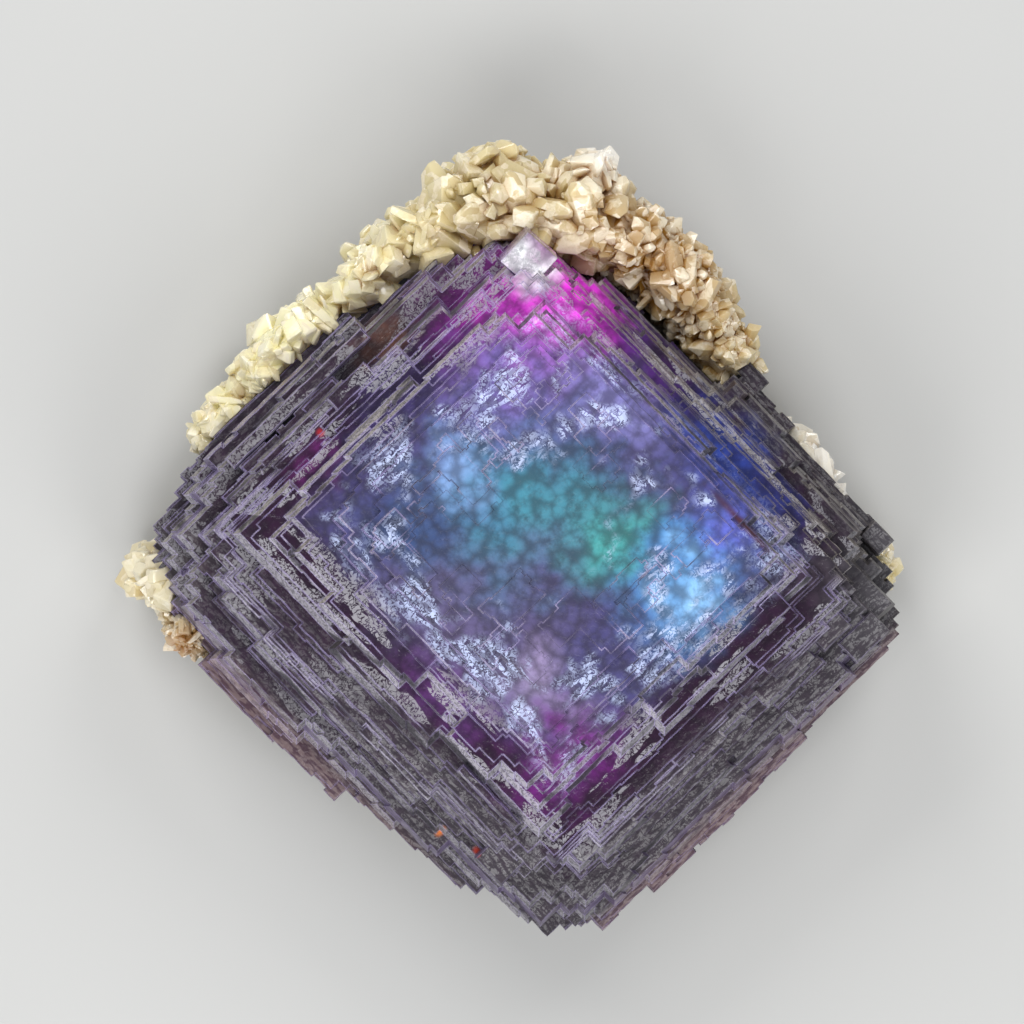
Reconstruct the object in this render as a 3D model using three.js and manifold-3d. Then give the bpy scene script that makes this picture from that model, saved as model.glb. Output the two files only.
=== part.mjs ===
// A stepped fluorite crystal on calcite, lying on its back with its stepped face up.
//
// The fluorite is one crystal: a flat face on top, and ledge under ledge down to the
// rim, with every edge along X or Y as a cube's edges run. A small tilted cube has
// grown out of one corner. The calcite is one crust: a sawn-off base under the
// fluorite, a bank of crystals along its back and round one corner, and the lumps
// that show past the rim elsewhere.
//
// Units are millimetres, +Z up. Outlines are drawn round a point near the middle of
// the fluorite, and the finished group is moved so that the origin lies on the base,
// under the middle of the whole specimen.
import * as THREE from "three";
import { mergeVertices } from "three/addons/utils/BufferGeometryUtils.js";
import Module from "manifold-3d";

const wasm = await Module();
wasm.setup();

// ---- Driving dimensions --------------------------------------------------------

const GAP = 0.3; // between the fluorite and the calcite
const ROOM_SCALE = 1.012; // the calcite's hollow is this much wider than the fluorite
const ROOMY = 60; // larger than the specimen in any direction from the middle
const OVERLAP = 0.5; // how far a layer reaches into the one above it
const MIDDLE = new THREE.Vector2(6, 3); // every outline of the fluorite goes round it

// The fluorite's outlines, from the rim to the top face: the height of each ledge's
// tread, and how many smaller ledges lie between it and the next one up.
const OUTLINES = {
  rim: {
    height: 20,
    between: 2,
    points: [
      [-42.2, 7], [-39, -12], [-36, -27], [-30.6, -39.5], [-26.6, -43.2], [-17.6, -44.4],
      [13.4, -45.3], [30.6, -43], [35.2, -40], [41.8, -29], [43, -10.5], [44.6, -3.5],
      [44.6, 0.6], [40.2, 1.4], [38.8, 4.2], [39, 24], [36.8, 33], [33, 38.6],
      [23.2, 43.8], [8.4, 45.8], [-25, 46.2], [-27.2, 44], [-33, 43], [-36.4, 39.4],
      [-39.4, 33.8], [-41.8, 24],
    ],
  },
  shoulder: {
    height: 33,
    between: 3,
    points: [
      [-38.6, 8], [-36, -12], [-32.6, -28], [-26, -38.6], [-22, -40.6], [14, -42],
      [24, -41], [31, -38.6], [38.6, -27], [39.6, -14], [41, -2], [38, 1], [36.8, 6],
      [36.6, 24], [33.6, 32.6], [28, 37.6], [20, 41], [0, 43.6], [-20, 43.8],
      [-24.6, 41.4], [-30.6, 39], [-36.6, 31], [-38, 22],
    ],
  },
  flank: {
    height: 40,
    between: 3,
    points: [
      [-31.6, 10], [-31, -12], [-29, -24], [-24.6, -31], [-18, -33.4], [16, -34.4],
      [26, -33.6], [32, -30], [35, -22], [36, -6], [34.6, 2], [34, 22], [31, 30],
      [24, 34], [10, 36.4], [-14, 37], [-26, 35.6], [-30, 30], [-31.8, 20],
    ],
  },
  bench: {
    height: 44,
    between: 1,
    points: [
      [-25.2, 12], [-25.2, -6], [-22.5, -6], [-22.5, -25.5], [0, -25.5], [0, -27.5],
      [22, -28], [28.6, -26], [31, -20], [32, -4], [31.6, 18], [29, 26], [22.6, 29.4],
      [8, 31.4], [-14, 32.6], [-23.6, 32.6], [-23.6, 12],
    ],
  },
  lip: {
    height: 45.8,
    between: 1,
    points: [
      [-22, 1], [-18, 1], [-18, -7.5], [-22, -7.5], [-22, -15], [-19.3, -15],
      [-19.3, -19.7], [-15.7, -19.7], [-15.7, -21.4], [-7, -22.2], [8.4, -22.2],
      [8.4, -23.4], [24, -23.6], [27.6, -21], [29.4, -15], [29.6, 19], [26.6, 21],
      [26.6, 26], [23.6, 28.6], [20, 30], [-7.7, 30], [-16.6, 30], [-16.6, 25],
      [-19.5, 25], [-19.5, 17.6], [-22, 17.6],
    ],
  },
  top: {
    height: 47.6,
    between: 0,
    points: [
      [-14, 13.4], [-14, -14], [-12, -14], [-12, -16.6], [4.2, -16.6], [4.2, -18.2],
      [8.4, -18.2], [8.4, -21], [25.6, -21], [27.2, -19], [28, -13], [28, 18.7],
      [24.2, 18.7], [24.2, 22.4], [21, 25.8], [2, 25], [-5.6, 26], [-5.6, 22.5],
      [-7.4, 22.5], [-7.4, 21.2], [-11, 21.2], [-11, 13.4],
    ],
  },
};

// Below the rim the sides step in and out a little, and then in, to the calcite.
const BELOW_RIM = [
  { width: 0.97, from: 13, to: 20 },
  { width: 0.9, from: 8, to: 13 },
];

// How the edges are broken up: a slanting edge becomes stairs this high, and a long
// straight run may have one notch.
const STAIR = 2.8;
const NOTCH = { run: 10, chance: 0.3, depth: [0.5, 1.1], width: [1.6, 5] };

// The small cube that leans out of the back right corner.
const CORNER_CUBE = { side: 5.6, centre: [31.8, 32.6, 37], tilt: [0.16, -0.12, 0.06] };

// Blocks and shards that stand on the ledges: low corner, size and top height.
const BLOCKS = [
  { at: [-31.5, -27.5], size: [5.4, 5], top: 40 },
  { at: [23.4, -35.4], size: [5, 4], top: 39.6 },
  { at: [25.6, -40], size: [6.2, 3.6], top: 34.6 },
  { at: [38.6, -31.6], size: [2.8, 3.6], top: 27 },
  { at: [10, -27.4], size: [14, 4.2], top: 44.8 },
  { at: [-24.6, -23], size: [0.9, 11], top: 45 },
  { at: [-2, 35.6], size: [7, 2.2], top: 40.8 },
  { at: [-18, 40], size: [26, 1.6], top: 37.6 },
];

// The sawn base: its outline reaches past the fluorite at the back and on the right.
const BASE = {
  height: 9,
  core: 0.9,
  outline: [
    [-34, 2], [-31, -18], [-24, -32], [-8, -37], [18, -37.6], [33, -33], [38, -18],
    [41, -2], [46, 10], [46, 28], [40, 41], [22, 47], [-6, 47], [-26, 44], [-40, 38],
    [-40, 22],
  ],
};

// Rough lumps all round the foot of the crust: how many, and their half sizes.
const FOOT = { count: 16, across: [6, 8.4], tall: [5.4, 7.6], height: 3.4, inward: 0.12 };

// Lumps of calcite that carry the crystals above the foot: centre, half sizes.
const LUMPS = [
  { at: [43, 5, 15], half: [6, 7.5, 10] },
  { at: [43.6, 18, 18], half: [7.5, 9, 12] },
  { at: [41, 31, 20], half: [8.6, 9, 13] },
  { at: [32, 41, 20], half: [9, 7.5, 12] },
  { at: [18, 45.6, 16], half: [10, 5.5, 11] },
  { at: [2, 46.6, 13], half: [11, 4.6, 10] },
  { at: [-13, 45.6, 10], half: [7, 4, 7] },
  { at: [-37.4, 36, 11], half: [5, 7, 12] },
  { at: [-39.8, 28.6, 12], half: [3.6, 4.6, 11] },
  { at: [40.4, -15, 11], half: [3.2, 8, 8] },
  { at: [37.6, -32, 9], half: [3.4, 4.6, 7] },
];

// Where crystals grow: along a line from one point to another, within a spread of it,
// in a range of sizes, each leaning the way that the line faces.
const DRUSES = [
  { name: "back crest", from: [-12, 47.6, 19], to: [22, 47.6, 25], spread: [1.5, 1.2, 2],
    size: [3, 4.6], count: 13, facing: [0, 0.7, 0.8] },
  { name: "back wall", from: [-12, 48.6, 9], to: [30, 48.6, 12], spread: [2, 1, 4],
    size: [2.6, 4], count: 7, facing: [0, 1, 0.2] },
  { name: "corner crest", from: [24, 45, 26], to: [41, 38, 28], spread: [2, 2, 2],
    size: [2.6, 4.2], count: 13, facing: [0.3, 0.5, 0.8] },
  { name: "stained slope", from: [43, 35, 31], to: [43.4, 4, 24], spread: [3.6, 2, 2],
    size: [2.2, 3.8], count: 21, facing: [0.4, 0.1, 0.9] },
  { name: "right wall", from: [47, 36, 17], to: [48.6, 6, 12], spread: [1.4, 2, 6],
    size: [2.2, 3.8], count: 9, facing: [1, 0.1, 0.3] },
  { name: "left lumps", from: [-34, 42, 19], to: [-41, 33, 20], spread: [0.8, 0.8, 2],
    size: [2.4, 3.6], count: 6, facing: [-0.7, 0.6, 0.5] },
  { name: "left tuft", from: [-42, 30.6, 18], to: [-42.4, 26, 18], spread: [0.6, 0.8, 2],
    size: [1.2, 1.9], count: 6, facing: [-1, 0.1, 0.5] },
  { name: "right slivers", from: [42, -9, 13], to: [41.6, -21, 13], spread: [0.6, 1, 3],
    size: [1.6, 2.6], count: 5, facing: [1, 0, 0.4] },
  { name: "front slivers", from: [39.6, -30, 11], to: [38, -34, 11], spread: [0.6, 0.6, 3],
    size: [1.6, 2.6], count: 3, facing: [0.8, -0.6, 0.3] },
];
const SKIRT = { count: 6, size: [2.4, 4], height: [2, 6], upward: 0.3 };
const STRAY = 0.5; // how far a lump or crystal of the foot is off its even place

// The two forms of crystal, as multiples of its size: a blunt point and a leaning rhomb.
const POINT = { share: 0.55, tip: 0.3, foot: 0.62, length: 1.7, sides: 5 };
const RHOMB = { sides: [1, 1.5, 0.9], lean: [0.3, 0.25] };
const SPLAY = { across: [-0.7, 0.7], up: [-0.4, 0.6] }; // how far crystals lean at random
const SWELL = [0.95, 1.15]; // how uneven a lump is

const COLOURS = { fluorite: 0x4a3a72, calcite: 0xe6d3a4 };

// ---- Chance ----------------------------------------------------------------------

/** Numbers from 0 to 1 that are the same on every run. */
function chanceFrom(seed) {
  let state = seed;
  return () => {
    state = (state * 16807) % 2147483647;
    return state / 2147483647;
  };
}

/** A number between two others. */
function between(chance, [low, high]) {
  return low + (high - low) * chance();
}

/** Rising fractions that split a length into parts that are not quite alike. */
function shares(parts, chance) {
  const marks = [0];
  for (let part = 0; part < parts; part += 1) {
    marks.push(marks[part] + 0.5 + chance());
  }
  return marks.map((mark) => mark / marks[parts]);
}

// ---- Outlines --------------------------------------------------------------------

/** How far an outline lies from the middle in one direction. */
function reach(points, direction) {
  let far = 0;
  points.forEach((start, index) => {
    const end = points[(index + 1) % points.length];
    const ax = start[0] - MIDDLE.x;
    const ay = start[1] - MIDDLE.y;
    const ex = end[0] - start[0];
    const ey = end[1] - start[1];
    const cross = direction.x * ey - direction.y * ex;
    if (Math.abs(cross) < 1e-9) {
      return;
    }
    const along = (ax * ey - ay * ex) / cross;
    const share = (ax * direction.y - ay * direction.x) / cross;
    if (along > 0 && share >= 0 && share <= 1) {
      far = Math.max(far, along);
    }
  });
  return far;
}

/** An outline part of the way from one outline to another that lies inside it. */
function blend(outer, inner, share) {
  return outer.map(([x, y]) => {
    const away = new THREE.Vector2(x, y).sub(MIDDLE);
    const distance = away.length();
    away.normalize();
    const moved = THREE.MathUtils.lerp(distance, reach(inner, away), share);
    return [MIDDLE.x + away.x * moved, MIDDLE.y + away.y * moved];
  });
}

/** An outline with its slanting edges turned into stairs that stay inside them. */
function stairs(points, chance) {
  const corners = [];
  points.forEach(([x, y], index) => {
    const [nextX, nextY] = points[(index + 1) % points.length];
    const wide = nextX - x;
    const deep = nextY - y;
    const steps = Math.max(1, Math.round(Math.min(Math.abs(wide), Math.abs(deep)) / STAIR));
    const across = shares(steps, chance);
    const along = shares(steps, chance);
    const acrossFirst = wide * deep < 0;
    corners.push([x, y]);
    for (let step = 0; step < steps; step += 1) {
      const before = acrossFirst ? [step + 1, step] : [step, step + 1];
      corners.push([x + wide * across[before[0]], y + deep * along[before[1]]]);
      corners.push([x + wide * across[step + 1], y + deep * along[step + 1]]);
    }
  });
  return corners;
}

/** An outline with a notch in some of its long runs. */
function notched(corners, chance) {
  const result = [];
  corners.forEach(([x, y], index) => {
    const [nextX, nextY] = corners[(index + 1) % corners.length];
    const run = Math.hypot(nextX - x, nextY - y);
    result.push([x, y]);
    if (run < NOTCH.run || chance() > NOTCH.chance) {
      return;
    }
    const ahead = [(nextX - x) / run, (nextY - y) / run];
    const inward = [-ahead[1], ahead[0]];
    const depth = between(chance, NOTCH.depth);
    const width = between(chance, NOTCH.width);
    const start = between(chance, [2, run - width - 2]);
    const place = (along, into) => [
      x + ahead[0] * along + inward[0] * into,
      y + ahead[1] * along + inward[1] * into,
    ];
    result.push(place(start, 0), place(start, depth));
    result.push(place(start + width, depth), place(start + width, 0));
  });
  return result;
}

/** An outline without doubled points, spikes or points in mid edge. */
function cleaned(corners) {
  let kept = corners;
  let before = 0;
  while (kept.length !== before) {
    before = kept.length;
    for (let index = kept.length - 1; index >= 0; index -= 1) {
      const [ax, ay] = kept[(index + kept.length - 1) % kept.length];
      const [x, y] = kept[index];
      const [bx, by] = kept[(index + 1) % kept.length];
      const turn = (x - ax) * (by - y) - (y - ay) * (bx - x);
      if (Math.abs(turn) < 0.02) {
        kept = kept.filter((corner, place) => place !== index);
      }
    }
  }
  return kept;
}

/** An outline made larger or smaller round the middle. */
function scaled(points, scale) {
  return points.map(([x, y]) => [
    MIDDLE.x + (x - MIDDLE.x) * scale,
    MIDDLE.y + (y - MIDDLE.y) * scale,
  ]);
}

// ---- Solids ----------------------------------------------------------------------

/** The closed solid of a geometry. */
function solidFrom(geometry) {
  const bare = geometry.clone();
  bare.deleteAttribute("normal");
  bare.deleteAttribute("uv");
  const merged = mergeVertices(bare, 1e-5);
  return new wasm.Manifold(
    new wasm.Mesh({
      numProp: 3,
      vertProperties: new Float32Array(merged.attributes.position.array),
      triVerts: new Uint32Array(merged.index.array),
    }),
  );
}

/** The geometry of a closed solid. */
function geometryFrom(solid) {
  const mesh = solid.getMesh();
  const geometry = new THREE.BufferGeometry();
  geometry.setAttribute("position", new THREE.BufferAttribute(mesh.vertProperties, 3));
  geometry.setIndex(new THREE.BufferAttribute(mesh.triVerts, 1));
  geometry.computeVertexNormals();
  return geometry;
}

/** A prism between two heights. */
function prism(outline, bottom, top) {
  const shape = new THREE.Shape(outline.map(([x, y]) => new THREE.Vector2(x, y)));
  const geometry = new THREE.ExtrudeGeometry(shape, {
    depth: top - bottom,
    bevelEnabled: false,
  });
  geometry.translate(0, 0, bottom);
  return solidFrom(geometry);
}

/** One solid from several that overlap. */
function joined(solids) {
  return solids.reduce((whole, solid) => whole.add(solid));
}

/** A block with its low corner and size in plan, between two heights. */
function block([x, y], [wide, deep], bottom, top) {
  return prism([[x, y], [x + wide, y], [x + wide, y + deep], [x, y + deep]], bottom, top);
}

// ---- The fluorite ----------------------------------------------------------------

/** Every ledge of the fluorite: a plain outline and the height of its tread. */
function ledges() {
  const levels = Object.values(OUTLINES);
  const result = [];
  levels.forEach((level, index) => {
    const above = levels[Math.min(index + 1, levels.length - 1)];
    for (let ledge = 0; ledge <= level.between; ledge += 1) {
      const share = ledge / (level.between + 1);
      const points = ledge === 0 ? level.points : blend(level.points, above.points, share);
      const height = THREE.MathUtils.lerp(level.height, above.height, share ** 0.9);
      result.push({ points, bottom: BELOW_RIM[0].from, height });
    }
  });
  BELOW_RIM.forEach(({ width, from, to }) => {
    const points = scaled(OUTLINES.rim.points, width);
    result.push({ points, bottom: from, height: to + OVERLAP });
  });
  return result;
}

/** The small cube at the corner, or the room that it needs with a margin. */
function cornerCube(margin) {
  const side = CORNER_CUBE.side + 2 * margin;
  const geometry = new THREE.BoxGeometry(side, side, side);
  geometry.applyMatrix4(
    new THREE.Matrix4().compose(
      new THREE.Vector3(...CORNER_CUBE.centre),
      new THREE.Quaternion().setFromEuler(new THREE.Euler(...CORNER_CUBE.tilt)),
      new THREE.Vector3(1, 1, 1),
    ),
  );
  return solidFrom(geometry);
}

/** The blocks on the ledges and the corner cube, or the room that they need. */
function extras(margin) {
  const blocks = BLOCKS.map(({ at, size, top }) => {
    const corner = at.map((value) => value - margin);
    const wide = size.map((value) => value + 2 * margin);
    return block(corner, wide, BELOW_RIM[0].from, top + margin);
  });
  return [...blocks, cornerCube(margin)];
}

/** The whole fluorite crystal. */
function fluoriteSolid() {
  const chance = chanceFrom(7301);
  const solids = ledges().map(({ points, bottom, height }) => {
    const outline = cleaned(notched(cleaned(stairs(points, chance)), chance));
    return prism(outline, bottom, height);
  });
  return joined([...solids, ...extras(0)]);
}

/** The room that the fluorite takes up in the calcite. */
function fluoriteRoom() {
  const solids = ledges().map(({ points, bottom, height }) =>
    prism(scaled(points, ROOM_SCALE), bottom - GAP, height + GAP),
  );
  return joined([...solids, ...extras(GAP)]);
}

// ---- The calcite -----------------------------------------------------------------

/** A rounded lump with flat facets. */
function lump({ at, half }, chance) {
  const geometry = new THREE.IcosahedronGeometry(1, 0);
  const bare = mergeVertices(geometry.deleteAttribute("normal").deleteAttribute("uv"), 1e-4);
  const place = bare.attributes.position;
  for (let index = 0; index < place.count; index += 1) {
    const swell = between(chance, SWELL);
    place.setXYZ(
      index,
      place.getX(index) * swell,
      place.getY(index) * swell,
      place.getZ(index) * swell,
    );
  }
  bare.scale(...half);
  bare.translate(...at);
  return solidFrom(bare);
}

/** One calcite crystal, half sunk in the crust. */
function crystal(at, size, facing, chance) {
  const geometry = chance() < POINT.share
    ? new THREE.CylinderGeometry(POINT.tip, POINT.foot, POINT.length, POINT.sides, 1)
    : new THREE.BoxGeometry(...RHOMB.sides);
  const lean = new THREE.Vector3(
    facing[0] + between(chance, SPLAY.across),
    facing[1] + between(chance, SPLAY.across),
    facing[2] + between(chance, SPLAY.up),
  ).normalize();
  const turn = new THREE.Quaternion().setFromUnitVectors(new THREE.Vector3(0, 1, 0), lean);
  const spin = new THREE.Quaternion().setFromAxisAngle(lean, between(chance, [0, Math.PI]));
  geometry.applyMatrix4(
    new THREE.Matrix4().makeShear(RHOMB.lean[0], 0, 0, 0, 0, RHOMB.lean[1]),
  );
  geometry.applyMatrix4(
    new THREE.Matrix4().compose(
      new THREE.Vector3(...at),
      spin.multiply(turn),
      new THREE.Vector3(size, size, size),
    ),
  );
  return solidFrom(geometry);
}

/** The crystals of one druse. */
function druse({ from, to, spread, size, count, facing }, chance) {
  const crystals = [];
  for (let number = 0; number < count; number += 1) {
    const share = (number + chance()) / count;
    const at = from.map((value, axis) => {
      const middle = THREE.MathUtils.lerp(value, to[axis], share);
      return middle + spread[axis] * between(chance, [-1, 1]);
    });
    crystals.push(crystal(at, between(chance, size), facing, chance));
  }
  return crystals;
}

/** Rough lumps and a few crystals all round the foot of the crust. */
function foot(chance) {
  const edge = new THREE.Path(BASE.outline.map(([x, y]) => new THREE.Vector2(x, y)));
  edge.closePath();
  const solids = [];
  for (let number = 0; number < FOOT.count; number += 1) {
    const place = edge.getPointAt((number + chance() * STRAY) / FOOT.count);
    place.lerp(MIDDLE, FOOT.inward);
    const at = [place.x, place.y, FOOT.height];
    const half = [FOOT.across, FOOT.across, FOOT.tall].map((range) => between(chance, range));
    solids.push(lump({ at, half }, chance));
  }
  for (let number = 0; number < SKIRT.count; number += 1) {
    const place = edge.getPointAt((number + chance() * STRAY) / SKIRT.count);
    const away = place.clone().sub(MIDDLE).normalize();
    const at = [place.x + away.x, place.y + away.y, between(chance, SKIRT.height)];
    const facing = [away.x, away.y, SKIRT.upward];
    solids.push(crystal(at, between(chance, SKIRT.size), facing, chance));
  }
  return solids;
}

/** The calcite crust, cut away where the fluorite sits and flat underneath; chips cut
 * loose by the fluorite are left out. */
function calciteSolid() {
  const chance = chanceFrom(2214);
  const crust = [prism(scaled(BASE.outline, BASE.core), 0, BASE.height)];
  LUMPS.forEach((one) => crust.push(lump(one, chance)));
  DRUSES.forEach((one) => crust.push(...druse(one, chance)));
  crust.push(...foot(chance));
  const above = block([-ROOMY, -ROOMY], [2 * ROOMY, 2 * ROOMY], 0, ROOMY);
  const cut = joined(crust).intersect(above).subtract(fluoriteRoom());
  const bodies = cut.decompose();
  return bodies.reduce((largest, body) => (body.volume() > largest.volume() ? body : largest));
}

// ---- The specimen ----------------------------------------------------------------

const fluorite = new THREE.Mesh(
  geometryFrom(fluoriteSolid()),
  new THREE.MeshStandardMaterial({ color: COLOURS.fluorite, roughness: 0.15, metalness: 0 }),
);
fluorite.name = "fluorite_crystal";

const calcite = new THREE.Mesh(
  geometryFrom(calciteSolid()),
  new THREE.MeshStandardMaterial({ color: COLOURS.calcite, roughness: 0.4, metalness: 0 }),
);
calcite.name = "calcite_matrix";

const specimen = new THREE.Group();
specimen.add(fluorite, calcite);
const box = new THREE.Box3().setFromObject(specimen);
const centre = box.getCenter(new THREE.Vector3());
specimen.position.set(-centre.x, -centre.y, -box.min.z);
specimen.updateMatrixWorld(true);

export default specimen;
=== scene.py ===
"""The finish of a stepped fluorite crystal on calcite.

The fluorite is one closed mesh of thirty-six jagged ledges, each with a sloping, frosted
riser, and of low plates on its top face. The calcite is one closed mesh of some thousands
of small crystals on rough lumps. Each stands in for the plain solid of the same piece.

Lengths in the classes are millimetres, in the drawing's own place: X and Y run along
the fluorite's edges from a point near its middle, and Z is up from the sawn base.
"""

import functools
import itertools
import logging
import math
import random
from collections.abc import Callable, Iterable
from dataclasses import dataclass, field
from enum import Enum

import bmesh
import bpy
from mathutils import Euler, Matrix, Vector

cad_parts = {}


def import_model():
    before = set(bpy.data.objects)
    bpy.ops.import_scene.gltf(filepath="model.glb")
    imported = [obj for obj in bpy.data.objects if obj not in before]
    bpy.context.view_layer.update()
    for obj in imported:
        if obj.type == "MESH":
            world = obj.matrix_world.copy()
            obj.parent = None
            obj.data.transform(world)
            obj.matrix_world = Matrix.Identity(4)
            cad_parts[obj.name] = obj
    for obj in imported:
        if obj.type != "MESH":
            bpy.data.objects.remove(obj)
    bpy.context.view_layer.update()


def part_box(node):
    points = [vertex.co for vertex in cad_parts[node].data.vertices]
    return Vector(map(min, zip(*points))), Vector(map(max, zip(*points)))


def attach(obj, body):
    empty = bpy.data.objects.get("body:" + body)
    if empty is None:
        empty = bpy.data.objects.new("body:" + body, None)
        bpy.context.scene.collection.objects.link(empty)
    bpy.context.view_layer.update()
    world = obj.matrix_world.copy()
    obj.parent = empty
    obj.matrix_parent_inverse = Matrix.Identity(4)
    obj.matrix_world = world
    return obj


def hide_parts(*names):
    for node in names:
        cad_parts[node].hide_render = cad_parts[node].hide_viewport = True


Point = tuple[float, float]
Place = tuple[float, float, float]
Colour = tuple[float, float, float, float]
Socket = bpy.types.NodeSocket
Add = Callable[..., Socket]

MM = 0.001
COLOURS = {"data_type": "RGBA"}
SMOOTH = {"interpolation_type": "SMOOTHSTEP"}
TIMES = {"operation": "MULTIPLY"}
MOST = {"operation": "MAXIMUM"}
BALL = {"gradient_type": "SPHERICAL"}
MIDDLE = Vector((6.0, 3.0))
RIM_LEFT_FRONT = Vector((-41.8, -44.36))
PARALLEL = 1e-9
STRAIGHT = 0.004

log = logging.getLogger("specimen")


# ---- Helpers -------------------------------------------------------------------


def linear(code: str) -> Colour:
    """Turn an sRGB hex colour into the linear values that a shader takes.

    Args:
        code: six hex digits, such as "efe3c0".

    Returns:
        Red, green, blue and alpha, the last always 1.
    """
    values = [int(code[place : place + 2], 16) / 255 for place in (0, 2, 4)]
    red, green, blue = (
        value / 12.92 if value <= 0.04045 else ((value + 0.055) / 1.055) ** 2.4
        for value in values
    )
    return (red, green, blue, 1.0)


def add_node(
    tree: bpy.types.NodeTree,
    kind: str,
    settings: dict[str, object] | None = None,
    links: dict[str | int, object] | None = None,
    out: str | int = 0,
) -> Socket | None:
    """Add one node with its settings and its inputs.

    Args:
        tree: the node tree that it goes into.
        kind: the node's type, without its first word.
        settings: the node's own properties.
        links: for each input, another node's output or a plain value.
        out: the output that is wanted.

    Returns:
        That output, or None where the node has none.
    """
    node = tree.nodes.new("ShaderNode" + kind)
    for name, value in (settings or {}).items():
        setattr(node, name, value)
    for name, value in (links or {}).items():
        if isinstance(value, Socket):
            tree.links.new(value, node.inputs[name])
        else:
            node.inputs[name].default_value = value
    return node.outputs[out] if len(node.outputs) else None


def new_material(name: str) -> tuple[bpy.types.Material, bpy.types.NodeTree]:
    """Make an empty node material.

    Args:
        name: the material's name.

    Returns:
        The material and its node tree.
    """
    material = bpy.data.materials.new(name)
    material.use_nodes = True
    material.node_tree.nodes.clear()
    return material, material.node_tree


def dressed(piece: bpy.types.Object, material: bpy.types.Material) -> None:
    """Give a piece its one material."""
    piece.data.materials.clear()
    piece.data.materials.append(material)


def object_from(mesh: bpy.types.Mesh, name: str) -> bpy.types.Object:
    """Put a mesh into the scene as an object of that name."""
    piece = bpy.data.objects.new(name, mesh)
    bpy.context.scene.collection.objects.link(piece)
    return piece


def finished(work: bmesh.types.BMesh, name: str) -> bpy.types.Mesh:
    """Turn a body into a mesh and free it.

    Args:
        work: the body, which is used up.
        name: the mesh's name.

    Returns:
        The mesh.
    """
    mesh = bpy.data.meshes.new(name)
    work.to_mesh(mesh)
    work.free()
    return mesh


def stacked(rings: list[list[Place | Vector]]) -> bmesh.types.BMesh:
    """Build the closed body that runs through rings of corners.

    Args:
        rings: rings with as many corners each, the lowest first, anticlockwise.

    Returns:
        A closed body.
    """
    work = bmesh.new()
    verts = [[work.verts.new(corner) for corner in ring] for ring in rings]
    work.faces.new(reversed(verts[0]))
    work.faces.new(verts[-1])
    for low, high in zip(verts, verts[1:]):
        for index in range(len(low)):
            after = (index + 1) % len(low)
            work.faces.new((low[index], low[after], high[after], high[index]))
    return work


def prism(points: list[Point], low: float, high: float) -> bmesh.types.BMesh:
    """Build a plain upright prism."""
    return stacked([[(x, y, z) for x, y in points] for z in (low, high)])


def rectangle(at: Point, size: Point) -> list[Point]:
    """List the corners of a rectangle from its low corner and its size."""
    (x, y), (wide, deep) = at, size
    return [(x, y), (x + wide, y), (x + wide, y + deep), (x, y + deep)]


def ringed(corners: list) -> Iterable[tuple]:
    """Pair each corner of a ring with the one after it."""
    return zip(corners, corners[1:] + corners[:1])


def any_way(chance: random.Random, spread: float = 1.0) -> Vector:
    """Draw a vector that points any way, of no fixed length."""
    return Vector([chance.gauss(0, spread) for _ in range(3)])


def combined(solids: list[bpy.types.Mesh], operation: str = "UNION") -> bpy.types.Mesh:
    """Join closed meshes, or cut the rest of them from the first.

    Args:
        solids: the closed meshes, which are used up.
        operation: "UNION" or "DIFFERENCE".

    Returns:
        One closed mesh.
    """
    first, *others = [object_from(mesh, "solid") for mesh in solids]
    tools = bpy.data.collections.new("tools")
    for other in others:
        tools.objects.link(other)
    modifier = first.modifiers.new("combine", "BOOLEAN")
    modifier.operation = operation
    modifier.operand_type = "COLLECTION"
    modifier.collection = tools
    modifier.solver = "MANIFOLD"
    graph = bpy.context.evaluated_depsgraph_get()
    result = bpy.data.meshes.new_from_object(first.evaluated_get(graph))
    for piece in (first, *others):
        used = piece.data
        bpy.data.objects.remove(piece)
        bpy.data.meshes.remove(used)
    bpy.data.collections.remove(tools)
    return result


# ---- Outlines of the fluorite --------------------------------------------------


@dataclass(frozen=True)
class Outline:
    """One driving outline of the fluorite and the height of the tread inside it."""

    height: float
    between: int
    points: tuple[Point, ...]


RIM = Outline(20, 2, (
    (-42.2, 7), (-39, -12), (-36, -27), (-30.6, -39.5), (-26.6, -43.2), (-17.6, -44.4),
    (13.4, -45.3), (30.6, -43), (35.2, -40), (41.8, -29), (43, -10.5), (44.6, -3.5),
    (44.6, 0.6), (40.2, 1.4), (38.8, 4.2), (39, 24), (36.8, 33), (33, 38.6),
    (23.2, 43.8), (8.4, 45.8), (-25, 46.2), (-27.2, 44), (-33, 43), (-36.4, 39.4),
    (-39.4, 33.8), (-41.8, 24),
))
SHOULDER = Outline(33, 3, (
    (-38.6, 8), (-36, -12), (-32.6, -28), (-26, -38.6), (-22, -40.6), (14, -42),
    (24, -41), (31, -38.6), (38.6, -27), (39.6, -14), (41, -2), (38, 1), (36.8, 6),
    (36.6, 24), (33.6, 32.6), (28, 37.6), (20, 41), (0, 43.6), (-20, 43.8),
    (-24.6, 41.4), (-30.6, 39), (-36.6, 31), (-38, 22),
))
FLANK = Outline(40, 3, (
    (-31.6, 10), (-31, -12), (-29, -24), (-24.6, -31), (-18, -33.4), (16, -34.4),
    (26, -33.6), (32, -30), (35, -22), (36, -6), (34.6, 2), (34, 22), (31, 30),
    (24, 34), (10, 36.4), (-14, 37), (-26, 35.6), (-30, 30), (-31.8, 20),
))
BENCH = Outline(44, 1, (
    (-25.2, 12), (-25.2, -6), (-22.5, -6), (-22.5, -25.5), (0, -25.5), (0, -27.5),
    (22, -28), (28.6, -26), (31, -20), (32, -4), (31.6, 18), (29, 26), (22.6, 29.4),
    (8, 31.4), (-14, 32.6), (-23.6, 32.6), (-23.6, 12),
))
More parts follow.
